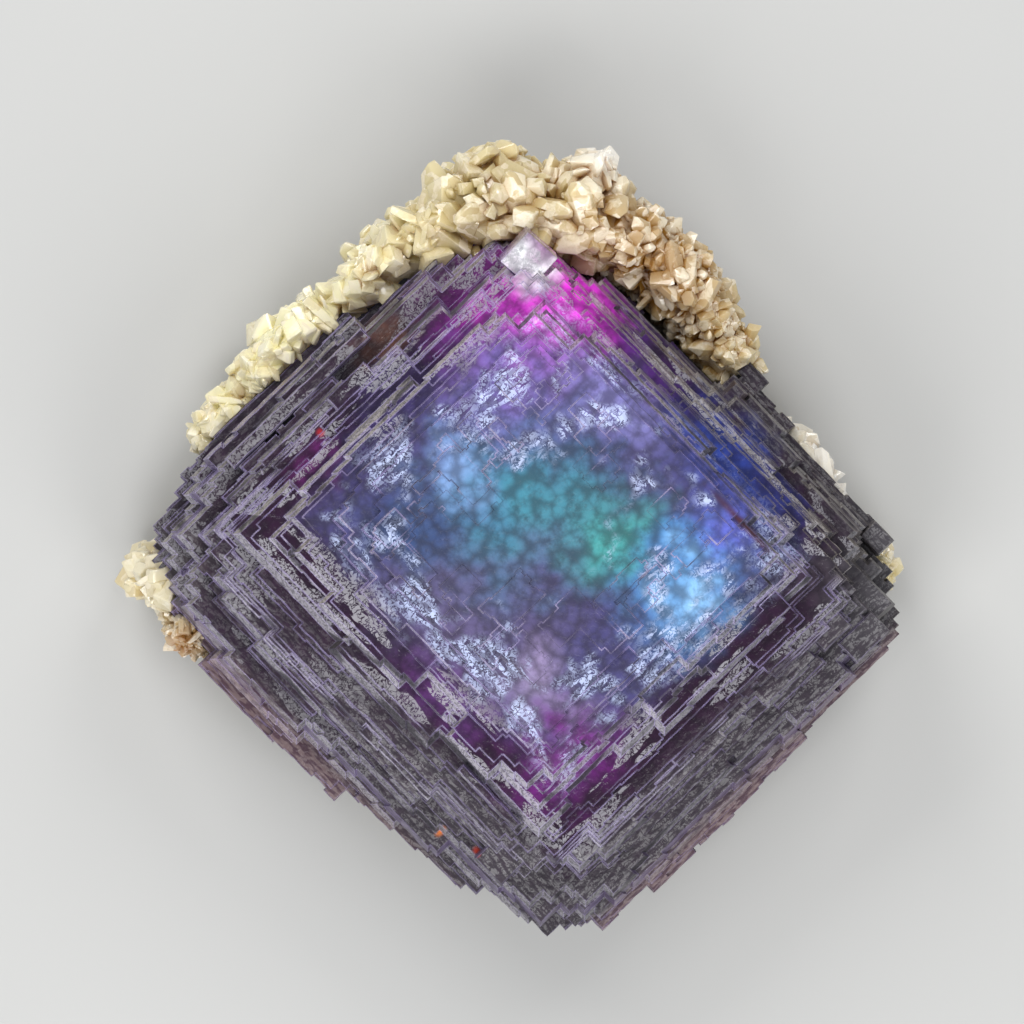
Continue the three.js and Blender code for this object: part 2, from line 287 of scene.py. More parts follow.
LIP = Outline(45.8, 1, (
    (-22, 1), (-18, 1), (-18, -7.5), (-22, -7.5), (-22, -15), (-19.3, -15),
    (-19.3, -19.7), (-15.7, -19.7), (-15.7, -21.4), (-7, -22.2), (8.4, -22.2),
    (8.4, -23.4), (24, -23.6), (27.6, -21), (29.4, -15), (29.6, 19), (26.6, 21),
    (26.6, 26), (23.6, 28.6), (20, 30), (-7.7, 30), (-16.6, 30), (-16.6, 25),
    (-19.5, 25), (-19.5, 17.6), (-22, 17.6),
))
TOP = Outline(47.6, 0, (
    (-14, 13.4), (-14, -14), (-12, -14), (-12, -16.6), (4.2, -16.6), (4.2, -18.2),
    (8.4, -18.2), (8.4, -21), (25.6, -21), (27.2, -19), (28, -13), (28, 18.7),
    (24.2, 18.7), (24.2, 22.4), (21, 25.8), (2, 25), (-5.6, 26), (-5.6, 22.5),
    (-7.4, 22.5), (-7.4, 21.2), (-11, 21.2), (-11, 13.4),
))


def reach(points: list[Point], direction: Vector) -> float:
    """Measure how far an outline lies from the middle in one direction.

    Args:
        points: the outline's corners.
        direction: a unit vector.

    Returns:
        The largest distance at which a line from the middle meets the outline.
    """
    far = 0.0
    for start, end in ringed(points):
        away = Vector(start) - MIDDLE
        edge = Vector(end) - Vector(start)
        cross = direction.cross(edge)
        if abs(cross) < PARALLEL:
            continue
        along = away.cross(edge) / cross
        share = away.cross(direction) / cross
        if along > 0 and 0 <= share <= 1:
            far = max(far, along)
    return far


def blend(outer: list[Point], inner: list[Point], share: float) -> list[Point]:
    """Find the outline part of the way from one outline to a smaller one.

    Args:
        outer: the larger outline.
        inner: the smaller outline.
        share: 0 for the larger one, 1 for the smaller one.

    Returns:
        An outline with the larger one's corners, moved inwards.
    """
    result = []
    for point in outer:
        away = Vector(point) - MIDDLE
        direction = away.normalized()
        distance = away.length * (1 - share) + reach(inner, direction) * share
        result.append(tuple(MIDDLE + direction * distance))
    return result


def scaled(points: list[Point], scale: float) -> list[Point]:
    """Make an outline larger or smaller round the middle."""
    return [tuple(MIDDLE + (Vector(point) - MIDDLE) * scale) for point in points]


def cleaned(corners: list[Point]) -> list[Point]:
    """Take out doubled points, spikes and points in mid edge.

    Args:
        corners: an outline.

    Returns:
        The same outline with real corners only.
    """
    kept = list(corners)
    before = 0
    while len(kept) != before:
        before = len(kept)
        for index in range(len(kept) - 1, -1, -1):
            last = Vector(kept[index - 1])
            here = Vector(kept[index])
            ahead = Vector(kept[(index + 1) % len(kept)])
            if abs((here - last).cross(ahead - here)) < STRAIGHT:
                del kept[index]
    return kept


def tangled(points: list[Point]) -> bool:
    """Find out whether a closed outline crosses itself.

    Args:
        points: the outline's corners.

    Returns:
        True if any two of its edges cross.
    """
    edges = [(Vector(start), Vector(end)) for start, end in ringed(points)]
    count = len(edges)
    for first in range(count):
        start, end = edges[first]
        run = end - start
        for second in range(first + 2, count - (first == 0)):
            low, high = edges[second]
            other = high - low
            cross = run.cross(other)
            if abs(cross) < PARALLEL:
                continue
            along = (low - start).cross(other) / cross
            share = (low - start).cross(run) / cross
            if 0 <= along <= 1 and 0 <= share <= 1:
                return True
    return False


@dataclass
class Jagger:
    """Breaks a plain outline up into the jogs and notches of a grown ledge.

    A slanting edge becomes stairs about `stair` wide. A straight run is cut into stretches
    from `shortest` to `longest`, few of them long, which lie in by one of `depths`.
    """

    chance: random.Random
    stair: float = 1.9
    shortest: float = 1.2
    longest: float = 14.0
    depths: tuple[float, ...] = (0.0, 0.0, 0.0, 0.25, 0.45, 0.8)
    least_part: float = 0.2
    extra_part: float = 1.6
    crowding: float = 0.75
    worth_cutting: float = 2.5

    def shares(self, parts: int) -> list[float]:
        """Split a length into uneven parts.

        Args:
            parts: how many.

        Returns:
            The rising fractions at which they meet, from 0 to 1.
        """
        marks = [0.0]
        for _ in range(parts):
            marks.append(
                marks[-1] + self.least_part + self.extra_part * self.chance.random() ** 2
            )
        return [mark / marks[-1] for mark in marks]

    def stairs(self, points: list[Point]) -> list[Point]:
        """Turn slanting edges into stairs that stay inside them.

        Args:
            points: a plain outline, anticlockwise.

        Returns:
            An outline whose edges all run along X or Y.
        """
        corners = []
        for (x, y), (next_x, next_y) in ringed(points):
            wide, deep = next_x - x, next_y - y
            steps = max(1, round(min(abs(wide), abs(deep)) / self.stair))
            across, along = self.shares(steps), self.shares(steps)
            ahead = (1, 0) if wide * deep < 0 else (0, 1)
            corners.append((x, y))
            for step in range(steps):
                corners.append((
                    x + wide * across[step + ahead[0]], y + deep * along[step + ahead[1]]
                ))
                corners.append((x + wide * across[step + 1], y + deep * along[step + 1]))
        return corners

    def jogs(self, corners: list[Point]) -> list[Point]:
        """Cut long runs into stretches that lie a little further in or out.

        Args:
            corners: an outline whose edges all run along X or Y.

        Returns:
            The same kind of outline with more corners.
        """
        result = []
        for start, end in ringed(corners):
            run = Vector(end) - Vector(start)
            length = run.length
            result.append(start)
            if length < self.worth_cutting * self.shortest:
                continue
            ahead = run.normalized()
            inward = Vector((-ahead.y, ahead.x))
            place, depth = 0.0, 0.0
            while True:
                stretch = self.shortest * self.chance.paretovariate(self.crowding)
                place += min(self.longest, stretch)
                if place > length - self.shortest:
                    break
                at = Vector(start) + ahead * place
                fresh = self.chance.choice(self.depths)
                result.append(tuple(at + inward * depth))
                result.append(tuple(at + inward * fresh))
                depth = fresh
            result.append(tuple(Vector(end) + inward * depth))
        return result

    def jagged(self, points: list[Point]) -> list[Point]:
        """Return the finished jagged outline of one ledge."""
        return cleaned(self.jogs(cleaned(self.stairs(points))))


# ---- The fluorite --------------------------------------------------------------


@dataclass(frozen=True)
class Slope:
    """How far a riser leans out on each side of the crystal, per ledge."""

    left: float = 0.4
    right: float = 0.2
    back: float = 0.3
    front: float = 0.36


@dataclass(frozen=True)
class Ledge:
    """One ledge: its jagged outline, the heights of its riser, and its slope."""

    outline: list[Point]
    foot: float
    riser: float
    height: float
    lean: float


@dataclass(frozen=True)
class Block:
    """A block or plate that stands on the ledges: low corner, size and top."""

    at: Point
    size: Point
    top: float


@dataclass
class FluoriteCrystal:
    """The stepped fluorite crystal and the small cube at its corner.

    Between two driving outlines the ledges come in pairs that lie close together, as
    `bunch` says, and each is a solid that reaches `overlap` down into the one below.
    """

    origin: Vector
    riser_seed: int = 411
    ledge_seed: int = 7301
    plate_seed: int = 90
    block_seed: int = 5
    outlines: tuple[Outline, ...] = (RIM, SHOULDER, FLANK, BENCH, LIP, TOP)
    bunch: tuple[float, ...] = (0.0, 0.24)
    bulge: float = 0.9
    overlap: float = 7.0
    first_riser: float = 1.5
    leans: tuple[float, ...] = (0.25, 0.25, 0.25, 0.4, 1.3, 2.2)
    slope: Slope = field(default_factory=Slope)
    eased: float = 0.8
    below_rim: tuple[tuple[float, float, float], ...] = (
        (0.985, 17.5, 20.0), (0.97, 15.5, 17.5), (0.975, 13.0, 15.5),
        (0.93, 11.0, 13.0), (0.9, 8.0, 11.0),
    )
    lip: float = 0.4
    low_lean: float = 0.3
    blocks: tuple[Block, ...] = (
        Block((-31.5, -27.5), (5.4, 5.0), 40.0),
        Block((23.4, -35.4), (5.0, 4.0), 39.6),
        Block((25.6, -40.0), (6.2, 3.6), 34.6),
        Block((38.6, -31.6), (2.8, 3.6), 27.0),
        Block((10.0, -27.4), (14.0, 4.2), 44.8),
        Block((-24.6, -23.0), (0.9, 11.0), 45.0),
        Block((-2.0, 35.6), (7.0, 2.2), 40.8),
        Block((-18.0, 40.0), (26.0, 1.6), 37.6),
    )
    block_foot: float = 18.0
    block_riser: float = 0.6
    block_lean: float = 0.6
    cube_side: float = 5.6
    cube_centre: Place = (31.8, 32.6, 37.0)
    cube_tilt: Place = (0.16, -0.12, 0.06)
    grain: float = 1.2
    waver: float = 0.05
    foot_waver: float = 1.5
    plate_count: int = 46
    plate_room: tuple[Point, Point] = ((-12.5, -15.5), (26.0, 23.0))
    plate_length: Point = (1.4, 8.0)
    plate_width: Point = (1.2, 5.0)
    plate_rise: Point = (0.08, 0.3)
    plate_foot: float = 46.0
    plate_riser: float = 0.3
    plate_lean: float = 0.5
    plate_shore: float = 9.0

    def ledges(self) -> list[Ledge]:
        """Work out every ledge, from the rim up, and then those below the rim.

        Returns:
            The ledges, in the order in which they are joined.
        """
        chance = random.Random(self.ledge_seed)
        setback = Jagger(chance, shortest=5.0, longest=26.0, depths=(0.0, 0.0, 0.0, 0.8, 1.5))
        jagger = Jagger(chance)
        plain = []
        for level, above in zip(self.outlines, self.outlines[1:] + self.outlines[-1:]):
            marks = jagger.shares(level.between + 1)
            for start, end in zip(marks, marks[1:]):
                for extra in self.bunch:
                    share = start + (end - start) * extra
                    height = level.height + (above.height - level.height) * share**self.bulge
                    points = blend(list(level.points), list(above.points), share)
                    plain.append((height, points))
                    if level is self.outlines[-1]:
                        break
        result = []
        lower = self.outlines[0].height - self.first_riser
        for height, points in plain:
            stepped = cleaned(setback.jogs(cleaned(jagger.stairs(points))))
            result.append(Ledge(
                cleaned(jagger.jogs(stepped)), height - self.overlap, lower, height,
                chance.choice(self.leans),
            ))
            lower = height
        for width, low, high in self.below_rim:
            outline = jagger.jagged(scaled(list(self.outlines[0].points), width))
            riser = high - self.lip
            result.append(Ledge(outline, low, riser, high + self.lip, self.low_lean))
        return result

    def leaned(self, outline: list[Point], lean: float) -> list[Point]:
        """Move an outline's edges outwards, each side by its own slope.

        Args:
            outline: the jagged outline of a tread.
            lean: a factor on the slope.

        Returns:
            The outline of the riser's foot.
        """
        result = []
        for index, here in enumerate(outline):
            last = Vector(outline[index - 1])
            ahead = Vector(outline[(index + 1) % len(outline)])
            shift = Vector((0.0, 0.0))
            for run in (Vector(here) - last, ahead - Vector(here)):
                if abs(run.y) > abs(run.x):
                    side = self.slope.right if run.y > 0 else -self.slope.left
                    shift.x = side * lean
                else:
                    side = -self.slope.front if run.x > 0 else self.slope.back
                    shift.y = side * lean
            result.append((here[0] + shift.x, here[1] + shift.y))
        return result

    def layer(self, ledge: Ledge, chance: random.Random) -> bpy.types.Mesh:
        """Build one ledge as a closed solid with a sloping riser.

        Args:
            ledge: the ledge.
            chance: the source of the riser's small unevenness.

        Returns:
            A closed mesh.
        """
        lean = ledge.lean
        foot = self.leaned(ledge.outline, lean)
        while tangled(foot):
            lean *= self.eased
            foot = self.leaned(ledge.outline, lean)
        top, base = [], []
        for index, start in enumerate(ledge.outline):
            after = (index + 1) % len(foot)
            end, low, next_low = ledge.outline[after], foot[index], foot[after]
            parts = max(1, round((Vector(end) - Vector(start)).length / self.grain))
            for part in range(parts):
                share = part / parts
                stray = Vector((0.0, 0.0))
                if part:
                    stray = Vector((chance.uniform(-1, 1), chance.uniform(-1, 1))) * self.waver
                top.append(Vector(start).lerp(Vector(end), share) + stray)
                base.append(Vector(low).lerp(Vector(next_low), share) + stray * self.foot_waver)
        rings = [(base, ledge.foot), (base, ledge.riser), (top, ledge.height)]
        work = stacked([
            [self.place((point.x, point.y, z)) for point in ring] for ring, z in rings
        ])
        return finished(work, "ledge")

    def place(self, point: Place) -> Vector:
        """Turn a point of the drawing into metres in the frame."""
        return (Vector(point) + self.origin) * MM

    def box(self, block: Block) -> bpy.types.Mesh:
        """Build one block as a closed solid.

        Args:
            block: the block.

        Returns:
            A closed mesh.
        """
        outline = rectangle(block.at, block.size)
        riser = block.top - self.block_riser
        ledge = Ledge(outline, self.block_foot, riser, block.top, self.block_lean)
        return self.layer(ledge, random.Random(self.block_seed))

    def cube(self) -> bpy.types.Mesh:
        """Build the small leaning cube."""
        work = bmesh.new()
        turn = Euler(self.cube_tilt).to_matrix().to_4x4()
        matrix = Matrix.Translation(self.place(self.cube_centre)) @ turn
        bmesh.ops.create_cube(work, size=self.cube_side * MM, matrix=matrix)
        return finished(work, "cube")

    def plates(self) -> list[Ledge]:
        """Lay low plates over the top face, most of them near its edges."""
        chance = random.Random(self.plate_seed)
        jagger = Jagger(chance, shortest=0.5, longest=3.0, depths=(0.0, 0.0, 0.3, 0.6))
        (left, front), (right, back) = self.plate_room
        result = []
        while len(result) < self.plate_count:
            wide = chance.uniform(*self.plate_length)
            deep = chance.uniform(*self.plate_width)
            if chance.random() < 0.5:
                wide, deep = deep, wide
            x = chance.uniform(left, right - wide)
            y = chance.uniform(front, back - deep)
            inset = min(x - left, right - wide - x, y - front, back - deep - y)
            if chance.random() * self.plate_shore < inset:
                continue
            height = self.outlines[-1].height + chance.uniform(*self.plate_rise)
            outline = cleaned(jagger.jogs(rectangle((x, y), (wide, deep))))
            if not tangled(outline):
                riser = height - self.plate_riser
                result.append(Ledge(
                    outline, self.plate_foot, riser, height, self.plate_lean
                ))
        return result

    def build(self) -> bpy.types.Object:
        """Build the whole crystal as one closed mesh."""
        chance = random.Random(self.riser_seed)
        solids = [self.layer(ledge, chance) for ledge in (*self.ledges(), *self.plates())]
        solids += [self.box(block) for block in self.blocks]
        solids.append(self.cube())
        return object_from(combined(solids), "stepped_fluorite")


# ---- Finish of the fluorite ----------------------------------------------------


@dataclass(frozen=True)
class Patch:
    """A soft patch of colour: its centre, half widths, sRGB colour and strength."""

    at: Place
    half: Place
    colour: str
    strength: float = 1.0

    def over(self, add: Add, place: Socket, under: Socket | Colour) -> Socket:
        """Lay the patch over a colour.

        Args:
            add: adds a node to the material's tree.
            place: the place in the drawing, in millimetres.
            under: the colour below it.

        Returns:
            The new colour.
        """
        own = add("Mapping", {"vector_type": "TEXTURE"}, {
            "Vector": place, "Location": self.at, "Scale": self.half,
        })
        ball = add("TexGradient", BALL, {0: own}, 1)
        share = add("MapRange", SMOOTH, {0: ball, 4: self.strength})
        return add("Mix", COLOURS, {0: share, 6: under, 7: linear(self.colour)}, 2)


@dataclass(frozen=True)
class Lie:
    """Where a point of the fluorite lies and how its face stands, as node outputs.

    `out` runs from 0 at the middle of the top face to 1 at its edge, and `top` is 1 on
    the top face. `along` is the place, drawn out along the ledges.
    """

    mm: Socket
    drift: Socket
    x: Socket
    y: Socket
    face_x: Socket
    face_y: Socket
    face_z: Socket
    tread: Socket
    rounded: Socket
    edge: Socket
    out: Socket
    top: Socket
    along: Socket


@dataclass(frozen=True)
class Wear:
    """How the fluorite is frosted, lined and dull at a point, and where its top face has
    painted glints, as node outputs.
    """

    cloud: Socket
    grain: Socket
    sweep: Socket
    crinkle: Socket
    strip: Socket
    frost_and_glint: Socket
    glint_zone: Socket
    faint: Socket
    lined: Socket
    dull: Socket
    tired: Socket


@dataclass(frozen=True)
class GrownFluorite:
    """Fluorite as it grew: clear violet, with glassy treads and etched, frosted risers.

    The treads look nearly black, because the light that enters them is taken up deep
    inside. The risers scatter light off thousands of tiny steps and look grey, with painted
    light and shade by the way each one faces. The top face is cloudy just below its skin,
    and shows patches of blue, teal and violet, the bright ones painted into a glow of light
    through the crystal, with painted glints and painted shade near its edges.
    """

    tread: str = "2b142c"
    plateau: str = "3c3968"
    plateau_at: Point = (7.0, 2.4)
    plateau_half: Point = (21.5, 24.0)
    # The crystal's own colour zones. The bright ones (magenta, teal, pale blue) are painted
    # into a glow of light through the crystal, and 7c9cd0 and 8cbce6 are painted highlights.
    patches: tuple[Patch, ...] = (
        Patch((6, 29, 0), (28, 9, 999), "38305e", 0.8),
        Patch((33, 16, 0), (8, 22, 999), "5a2c86", 0.85),
        Patch((32, -7, 0), (9, 17, 999), "2c449c", 0.9),
        Patch((27, 27, 0), (21, 19, 999), "8c2492", 1.0),
        Patch((30, 25.5, 0), (13, 13, 999), "ff40ee", 1.0),
        Patch((31.8, 32.6, 40), (7, 7, 8), "f0f4f4", 1.0),
        Patch((-12.6, -21, 0), (12, 10, 999), "6e2278", 0.95),
        Patch((-18, -4, 0), (9, 13, 999), "5e2a70", 0.8),
        Patch((-9, 33, 0), (6, 5, 999), "7a2a78", 0.75),
        Patch((-11, 3, 0), (14, 22, 999), "564c70", 0.8),
        Patch((17.5, 21, 0), (17, 13, 999), "6c5ea4", 0.9),
        Patch((25.6, 9, 0), (7, 14, 999), "807cbc", 0.75),
        Patch((6, 11, 0), (20, 16, 999), "37708e", 0.95),
        Patch((8, 6, 0), (15, 12, 999), "3b8690", 0.6),
        Patch((3.9, 17.6, 0), (7, 8, 999), "7c9cd0", 0.85),
        Patch((-8.3, 17.8, 0), (9, 11, 999), "263f6a", 0.9),
        Patch((13, -4, 0), (12, 11, 999), "3c9c96", 0.8),
        Patch((16, -15.5, 0), (14, 12, 999), "4484c0", 0.95),
        Patch((15.6, -16.6, 0), (8, 7, 999), "8cbce6", 0.85),
        Patch((24, -14, 0), (6, 8, 999), "5a5cc4", 0.7),
        Patch((1, 1, 0), (12, 9, 999), "4f5c80", 0.6),
        Patch((-3, -6, 0), (9, 8, 999), "4c4266", 0.7),
        Patch((-8.4, -11.4, 0), (8.6, 8, 999), "9484aa", 0.75),
        Patch((9, 39, 0), (7, 5, 999), "6a4434", 0.9),
        Patch((37, -34, 0), (17, 17, 999), "4c4a4e", 0.9),
        Patch((-37, 38, 0), (13, 13, 999), "5a5250", 0.8),
    )
    specks: tuple[Patch, ...] = (
        Patch((27.2, -15, 0), (0.9, 10, 999), "3c0c0e", 0.95),
        Patch((-6, 35, 0), (0.9, 0.9, 999), "b02a34", 1.0),
        Patch((-32.8, -16.6, 0), (1.3, 0.8, 999), "d8752a", 1.0),
        Patch((-31, -22, 0), (0.8, 0.9, 999), "b8301c", 1.0),
    )
    # Riser tones by the way a face turns: the frost's own hues, with painted light and shade
    # that make the left side lightest.
    left: str = "b4b0ba"
    front: str = "96949a"
    back: str = "a09a94"
    right: str = "8e887e"
    worn_off: str = "696769"
    ash: str = "2f2c31"
    rim: str = "5f4650"
    rim_line: str = "8a7474"
    dark: str = "150f19"
    # Colours of the painted highlight on edges and steep faces.
    edge_highlight: str = "bdade4"
    taupe_highlight: str = "8e867f"
    # Colour of the painted silvery glints on the top face.
    painted_glint: str = "bcc8ea"
    ior: float = 1.434
    clearness: float = 0.16
    taken_up: Colour = (0.45, 0.25, 0.75, 1.0)
    density: float = 40.0
    glassy: float = 0.1
    frosted: float = 0.42
    edge_radius: float = 0.2
    relief: float = 0.2

    def lie(self, add: Add, origin: Vector) -> Lie:
        """Work out where a point lies and how its face stands.

        Args:
            add: adds a node to the material's tree.
            origin: the place of the drawing's middle in the frame, in millimetres.

        Returns:
            The outputs that say so.
        """
        mm = add("Mapping", None, {
            "Vector": add("TexCoord", out="Object"), "Location": -origin,
            "Scale": (1 / MM,) * 3,
        })
        drift = add("TexNoise", None, {
            "Vector": mm, "Scale": 0.13, "Detail": 2.0, "Roughness": 0.68,
        }, "Color")
        x, y = (add("SeparateXYZ", None, {0: mm}, axis) for axis in "XY")
        normal = add("NewGeometry", out="True Normal")
        faces = [add("SeparateXYZ", None, {0: normal}, axis) for axis in "XYZ"]
        tread = add("MapRange", SMOOTH, {0: faces[2], 1: 0.9, 2: 0.97})

        # The edges of the ledges are rounded and catch the light, and the edge mask also
        # carries a painted highlight line.
        rounded = add("Bevel", {"samples": 3}, {"Radius": self.edge_radius * MM})
        turn = add("VectorMath", {"operation": "DOT_PRODUCT"}, {0: rounded, 1: normal}, "Value")
        edge = add("MapRange", SMOOTH, {0: turn, 1: 0.985, 2: 0.88, 4: 0.85})

        # How far out a point lies, as a share of the top face's own square.
        away = []
        for value, middle, half in zip((x, y), self.plateau_at, self.plateau_half):
            share = add("MapRange", {"clamp": False}, {0: value, 1: middle, 2: middle + half})
            away.append(add("Math", {"operation": "ABSOLUTE"}, {0: share}))
        out = add("Math", MOST, {0: away[0], 1: away[1]})
        top = add("MapRange", SMOOTH, {0: out, 1: 1.2, 2: 0.94})
        across = add("Math", {"operation": "SUBTRACT"}, {0: away[0], 1: away[1]})
        sideways = add("MapRange", SMOOTH, {0: across, 1: -0.002, 2: 0.002})
        flat, tall = (
            add("Mapping", None, {"Vector": mm, "Scale": scale})
            for scale in ((0.45, 1.8, 1.0), (1.8, 0.45, 1.0))
        )
        along = add("Mix", {"data_type": "VECTOR"}, {0: sideways, 4: flat, 5: tall}, 1)
        return Lie(mm, drift, x, y, *faces, tread, rounded, edge, out, top, along)

    def wear(self, add: Add, lie: Lie) -> Wear:
        """Work out how the skin is frosted, flaky, lined and dull.

        Args:
            add: adds a node to the material's tree.
            lie: where the point lies.

        Returns:
            The outputs that say so.
        """
        cloud = add("TexNoise", None, {
            "Vector": lie.mm, "Scale": 0.55, "Detail": 3.0, "Roughness": 0.65,
        })
        pale = add("MapRange", SMOOTH, {0: cloud, 1: 0.25, 2: 0.62})

        # Crumbs of frost 0.4 mm across, and the broad strips in which they lie, which
        # are drawn out along the ledges and lie closer at the back and at the left.
        grain = add("TexNoise", None, {
            "Vector": lie.mm, "Scale": 1.4, "Detail": 2.0, "Roughness": 0.6, "Distortion": 0.6,
        })
        sweep = add("TexNoise", None, {"Vector": lie.along, "Scale": 0.2, "Detail": 3.0})
        for value, inner, outer in ((lie.y, 10.0, 30.0), (lie.x, -13.0, -22.0)):
            denser = add("MapRange", SMOOTH, {0: value, 1: inner, 2: outer, 4: 0.03})
            sweep = add("Math", None, {0: sweep, 1: denser})
        ridge = add("Math", {"operation": "PINGPONG"}, {0: grain, 1: 0.5})
        crinkle = add("MapRange", SMOOTH, {0: ridge, 1: 0.485, 2: 0.43})
        strip = add("MapRange", SMOOTH, {0: sweep, 1: 0.555, 2: 0.575})

        # Chips about 1 mm long lie on the top face, most of them at its edges: painted silvery
        # glints with painted shade between them. The same chips frost the strips on the treads.
        blocky = {"voronoi_dimensions": "2D", "distance": "CHEBYCHEV"}
        chip = add("TexVoronoi", blocky, {"Vector": lie.along, "Scale": 1.1}, "Color")
        chance = add("SeparateXYZ", None, {0: chip})
        frost_and_glint = add("Math", TIMES, {0: chance, 1: crinkle})
        shore = add("MapRange", SMOOTH, {0: lie.out, 1: 0.35, 2: 0.95, 4: 0.13})
        loose = add("SeparateXYZ", None, {0: lie.drift})
        glint_zone = add("Math", None, {0: loose, 1: shore})
        faint = add("MapRange", SMOOTH, {0: glint_zone, 1: 0.48, 2: 0.64, 3: 0.9, 4: 0.1})
        faint = add("Math", TIMES, {0: faint, 1: lie.top})

        # Growth lines half a millimetre apart run along the ledges.
        lines = add("TexNoise", {"noise_dimensions": "2D"}, {
            "Vector": lie.along, "Scale": 1.1, "Detail": 1.0,
        })
        lined = add("MapRange", SMOOTH, {0: lines, 1: 0.4, 2: 0.6})

        # The outermost ledges are dull all over, most of all on two sides.
        outer = add("MapRange", SMOOTH, {0: lie.out, 1: 1.3, 2: 1.6})
        exposed = add("MapRange", SMOOTH, {0: lie.y, 1: 20.0, 2: -20.0, 3: 0.4})
        dull = add("Math", TIMES, {0: outer, 1: exposed})
        tired = add("Math", TIMES, {0: dull, 1: 0.6})
        return Wear(
            pale, grain, sweep, crinkle, strip, frost_and_glint, glint_zone, faint, lined, dull, tired
        )

    def body(self, add: Add, lie: Lie, wear: Wear) -> Socket:
        """Colour the crystal's body: dark treads, and a cloudy top face in colour zones, the
        bright zones painted into a glow, with painted glints and painted shade near its edges.

        Args:
            add: adds a node to the material's tree.
            lie: where the point lies.
            wear: how its skin is worn.

        Returns:
            The colour.
        """
        shift = add("VectorMath", {"operation": "MULTIPLY_ADD"}, {
            0: lie.drift, 1: (16, 16, 0), 2: (-8, -8, 0),
        })
        soft = add("VectorMath", None, {0: lie.mm, 1: shift})
        colour = add("Mix", COLOURS, {
            0: lie.top, 6: linear(self.tread), 7: linear(self.plateau),
        }, 2)
        for patch in self.patches:
            colour = patch.over(add, soft, colour)

        # Cloudy cells 1.8 mm across, which lie just below the top face.
        flat_cells = {"voronoi_dimensions": "2D"}
        cells = add("TexVoronoi", flat_cells, {"Vector": lie.mm, "Scale": 0.55})
        near = add("MapRange", SMOOTH, {0: cells, 1: 0.85, 2: 0.2})
        murk = add("Math", TIMES, {0: near, 1: wear.cloud})
        deep = add("Mix", COLOURS, {0: 0.6, 6: colour, 7: linear(self.dark)}, 2)
        colour = add("Mix", COLOURS, {0: murk, 6: deep, 7: colour}, 2)

        # Painted glints on the top face, with painted shade between them.
        glint_share = add("MapRange", SMOOTH, {0: wear.glint_zone, 1: 0.58, 2: 0.72, 4: 0.8})
        glint_share = add("Math", TIMES, {0: glint_share, 1: lie.top})
        crinkle_shade = add("Mix", COLOURS, {0: 0.45, 6: colour, 7: linear(self.dark)}, 2)
        glint_foil = add("Mix", COLOURS, {0: wear.frost_and_glint, 6: crinkle_shade, 7: linear(self.painted_glint)}, 2)
        return add("Mix", COLOURS, {0: glint_share, 6: colour, 7: glint_foil}, 2)

    def ledges(
        self, add: Add, lie: Lie, wear: Wear, body: Socket, edge_highlight: Socket
    ) -> tuple[Socket, Socket]:
        """Lay frost, with painted light and shade by facing, over the risers, and frost and
        dust over the treads.

        Args:
            add: adds a node to the material's tree.
            lie: where the point lies.
            wear: how its skin is worn.
            body: the colour of the crystal's body.
            edge_highlight: the colour of the painted highlight on edges and steep faces.

        Returns:
            The colour, and how bright the risers are.
        """
        # Each riser takes a tone by the way it faces: its own frosted hue, with painted light
        # and shade, lightest on the left.
        side = linear(self.front)
        left = add("Math", TIMES, {0: lie.face_x, 1: -1.0})
        for value, code in (
            (lie.face_y, self.back), (left, self.left), (lie.face_x, self.right)
        ):
            share = add("MapRange", SMOOTH, {0: value, 1: 0.2, 2: 0.5})
            side = add("Mix", COLOURS, {0: share, 6: side, 7: linear(code)}, 2)
        side = add("Mix", COLOURS, {0: 0.25, 6: side, 7: body}, 2)
        side = add("Mix", COLOURS, {0: wear.tired, 6: side, 7: linear(self.worn_off)}, 2)
        shade = add("Mix", COLOURS, {0: 0.6, 6: side, 7: linear(self.dark)}, 2)
        band = add("Mix", COLOURS, {0: wear.crinkle, 6: shade, 7: side}, 2)
        bright = add("MapRange", SMOOTH, {0: wear.sweep, 1: 0.41, 2: 0.51, 3: 0.2})
        band = add("Mix", COLOURS, {0: bright, 6: linear(self.dark), 7: band}, 2)

        # Gentle risers are frosted. Steep ones stay glassy, with a painted lilac highlight over
        # them.
        glint = add("MapRange", None, {0: wear.tired, 3: 0.36, 4: 0.08})
        glint = add("Math", TIMES, {0: glint, 1: wear.cloud})
        pane_glint = add("Mix", COLOURS, {0: glint, 6: body, 7: edge_highlight}, 2)
        gentle = add("MapRange", SMOOTH, {0: lie.face_z, 1: 0.2, 2: 0.42})
        riser = add("Mix", COLOURS, {0: gentle, 6: pane_glint, 7: band}, 2)
        riser = add("Mix", COLOURS, {0: wear.faint, 6: riser, 7: body}, 2)

        # Treads carry strips of frost, and the outermost ones are dusty instead.
        dust = add("Mix", COLOURS, {0: 0.8, 6: body, 7: linear(self.worn_off)}, 2)
        grey = add("Math", TIMES, {0: wear.crinkle, 1: wear.lined})
        ashen = add("Mix", COLOURS, {0: 0.55, 6: body, 7: linear(self.ash)}, 2)
        dusty = add("Mix", COLOURS, {0: grey, 6: ashen, 7: dust}, 2)
        fleck = add("Mix", COLOURS, {0: wear.crinkle, 6: body, 7: side}, 2)
        strips = add("Mix", COLOURS, {0: wear.strip, 6: body, 7: fleck}, 2)
        ledge = add("Mix", COLOURS, {0: wear.dull, 6: strips, 7: dusty}, 2)
        flat = add("Mix", COLOURS, {0: lie.top, 6: ledge, 7: body}, 2)
        for speck in self.specks:
            flat = speck.over(add, lie.mm, flat)
        return add("Mix", COLOURS, {0: lie.tread, 6: riser, 7: flat}, 2), bright

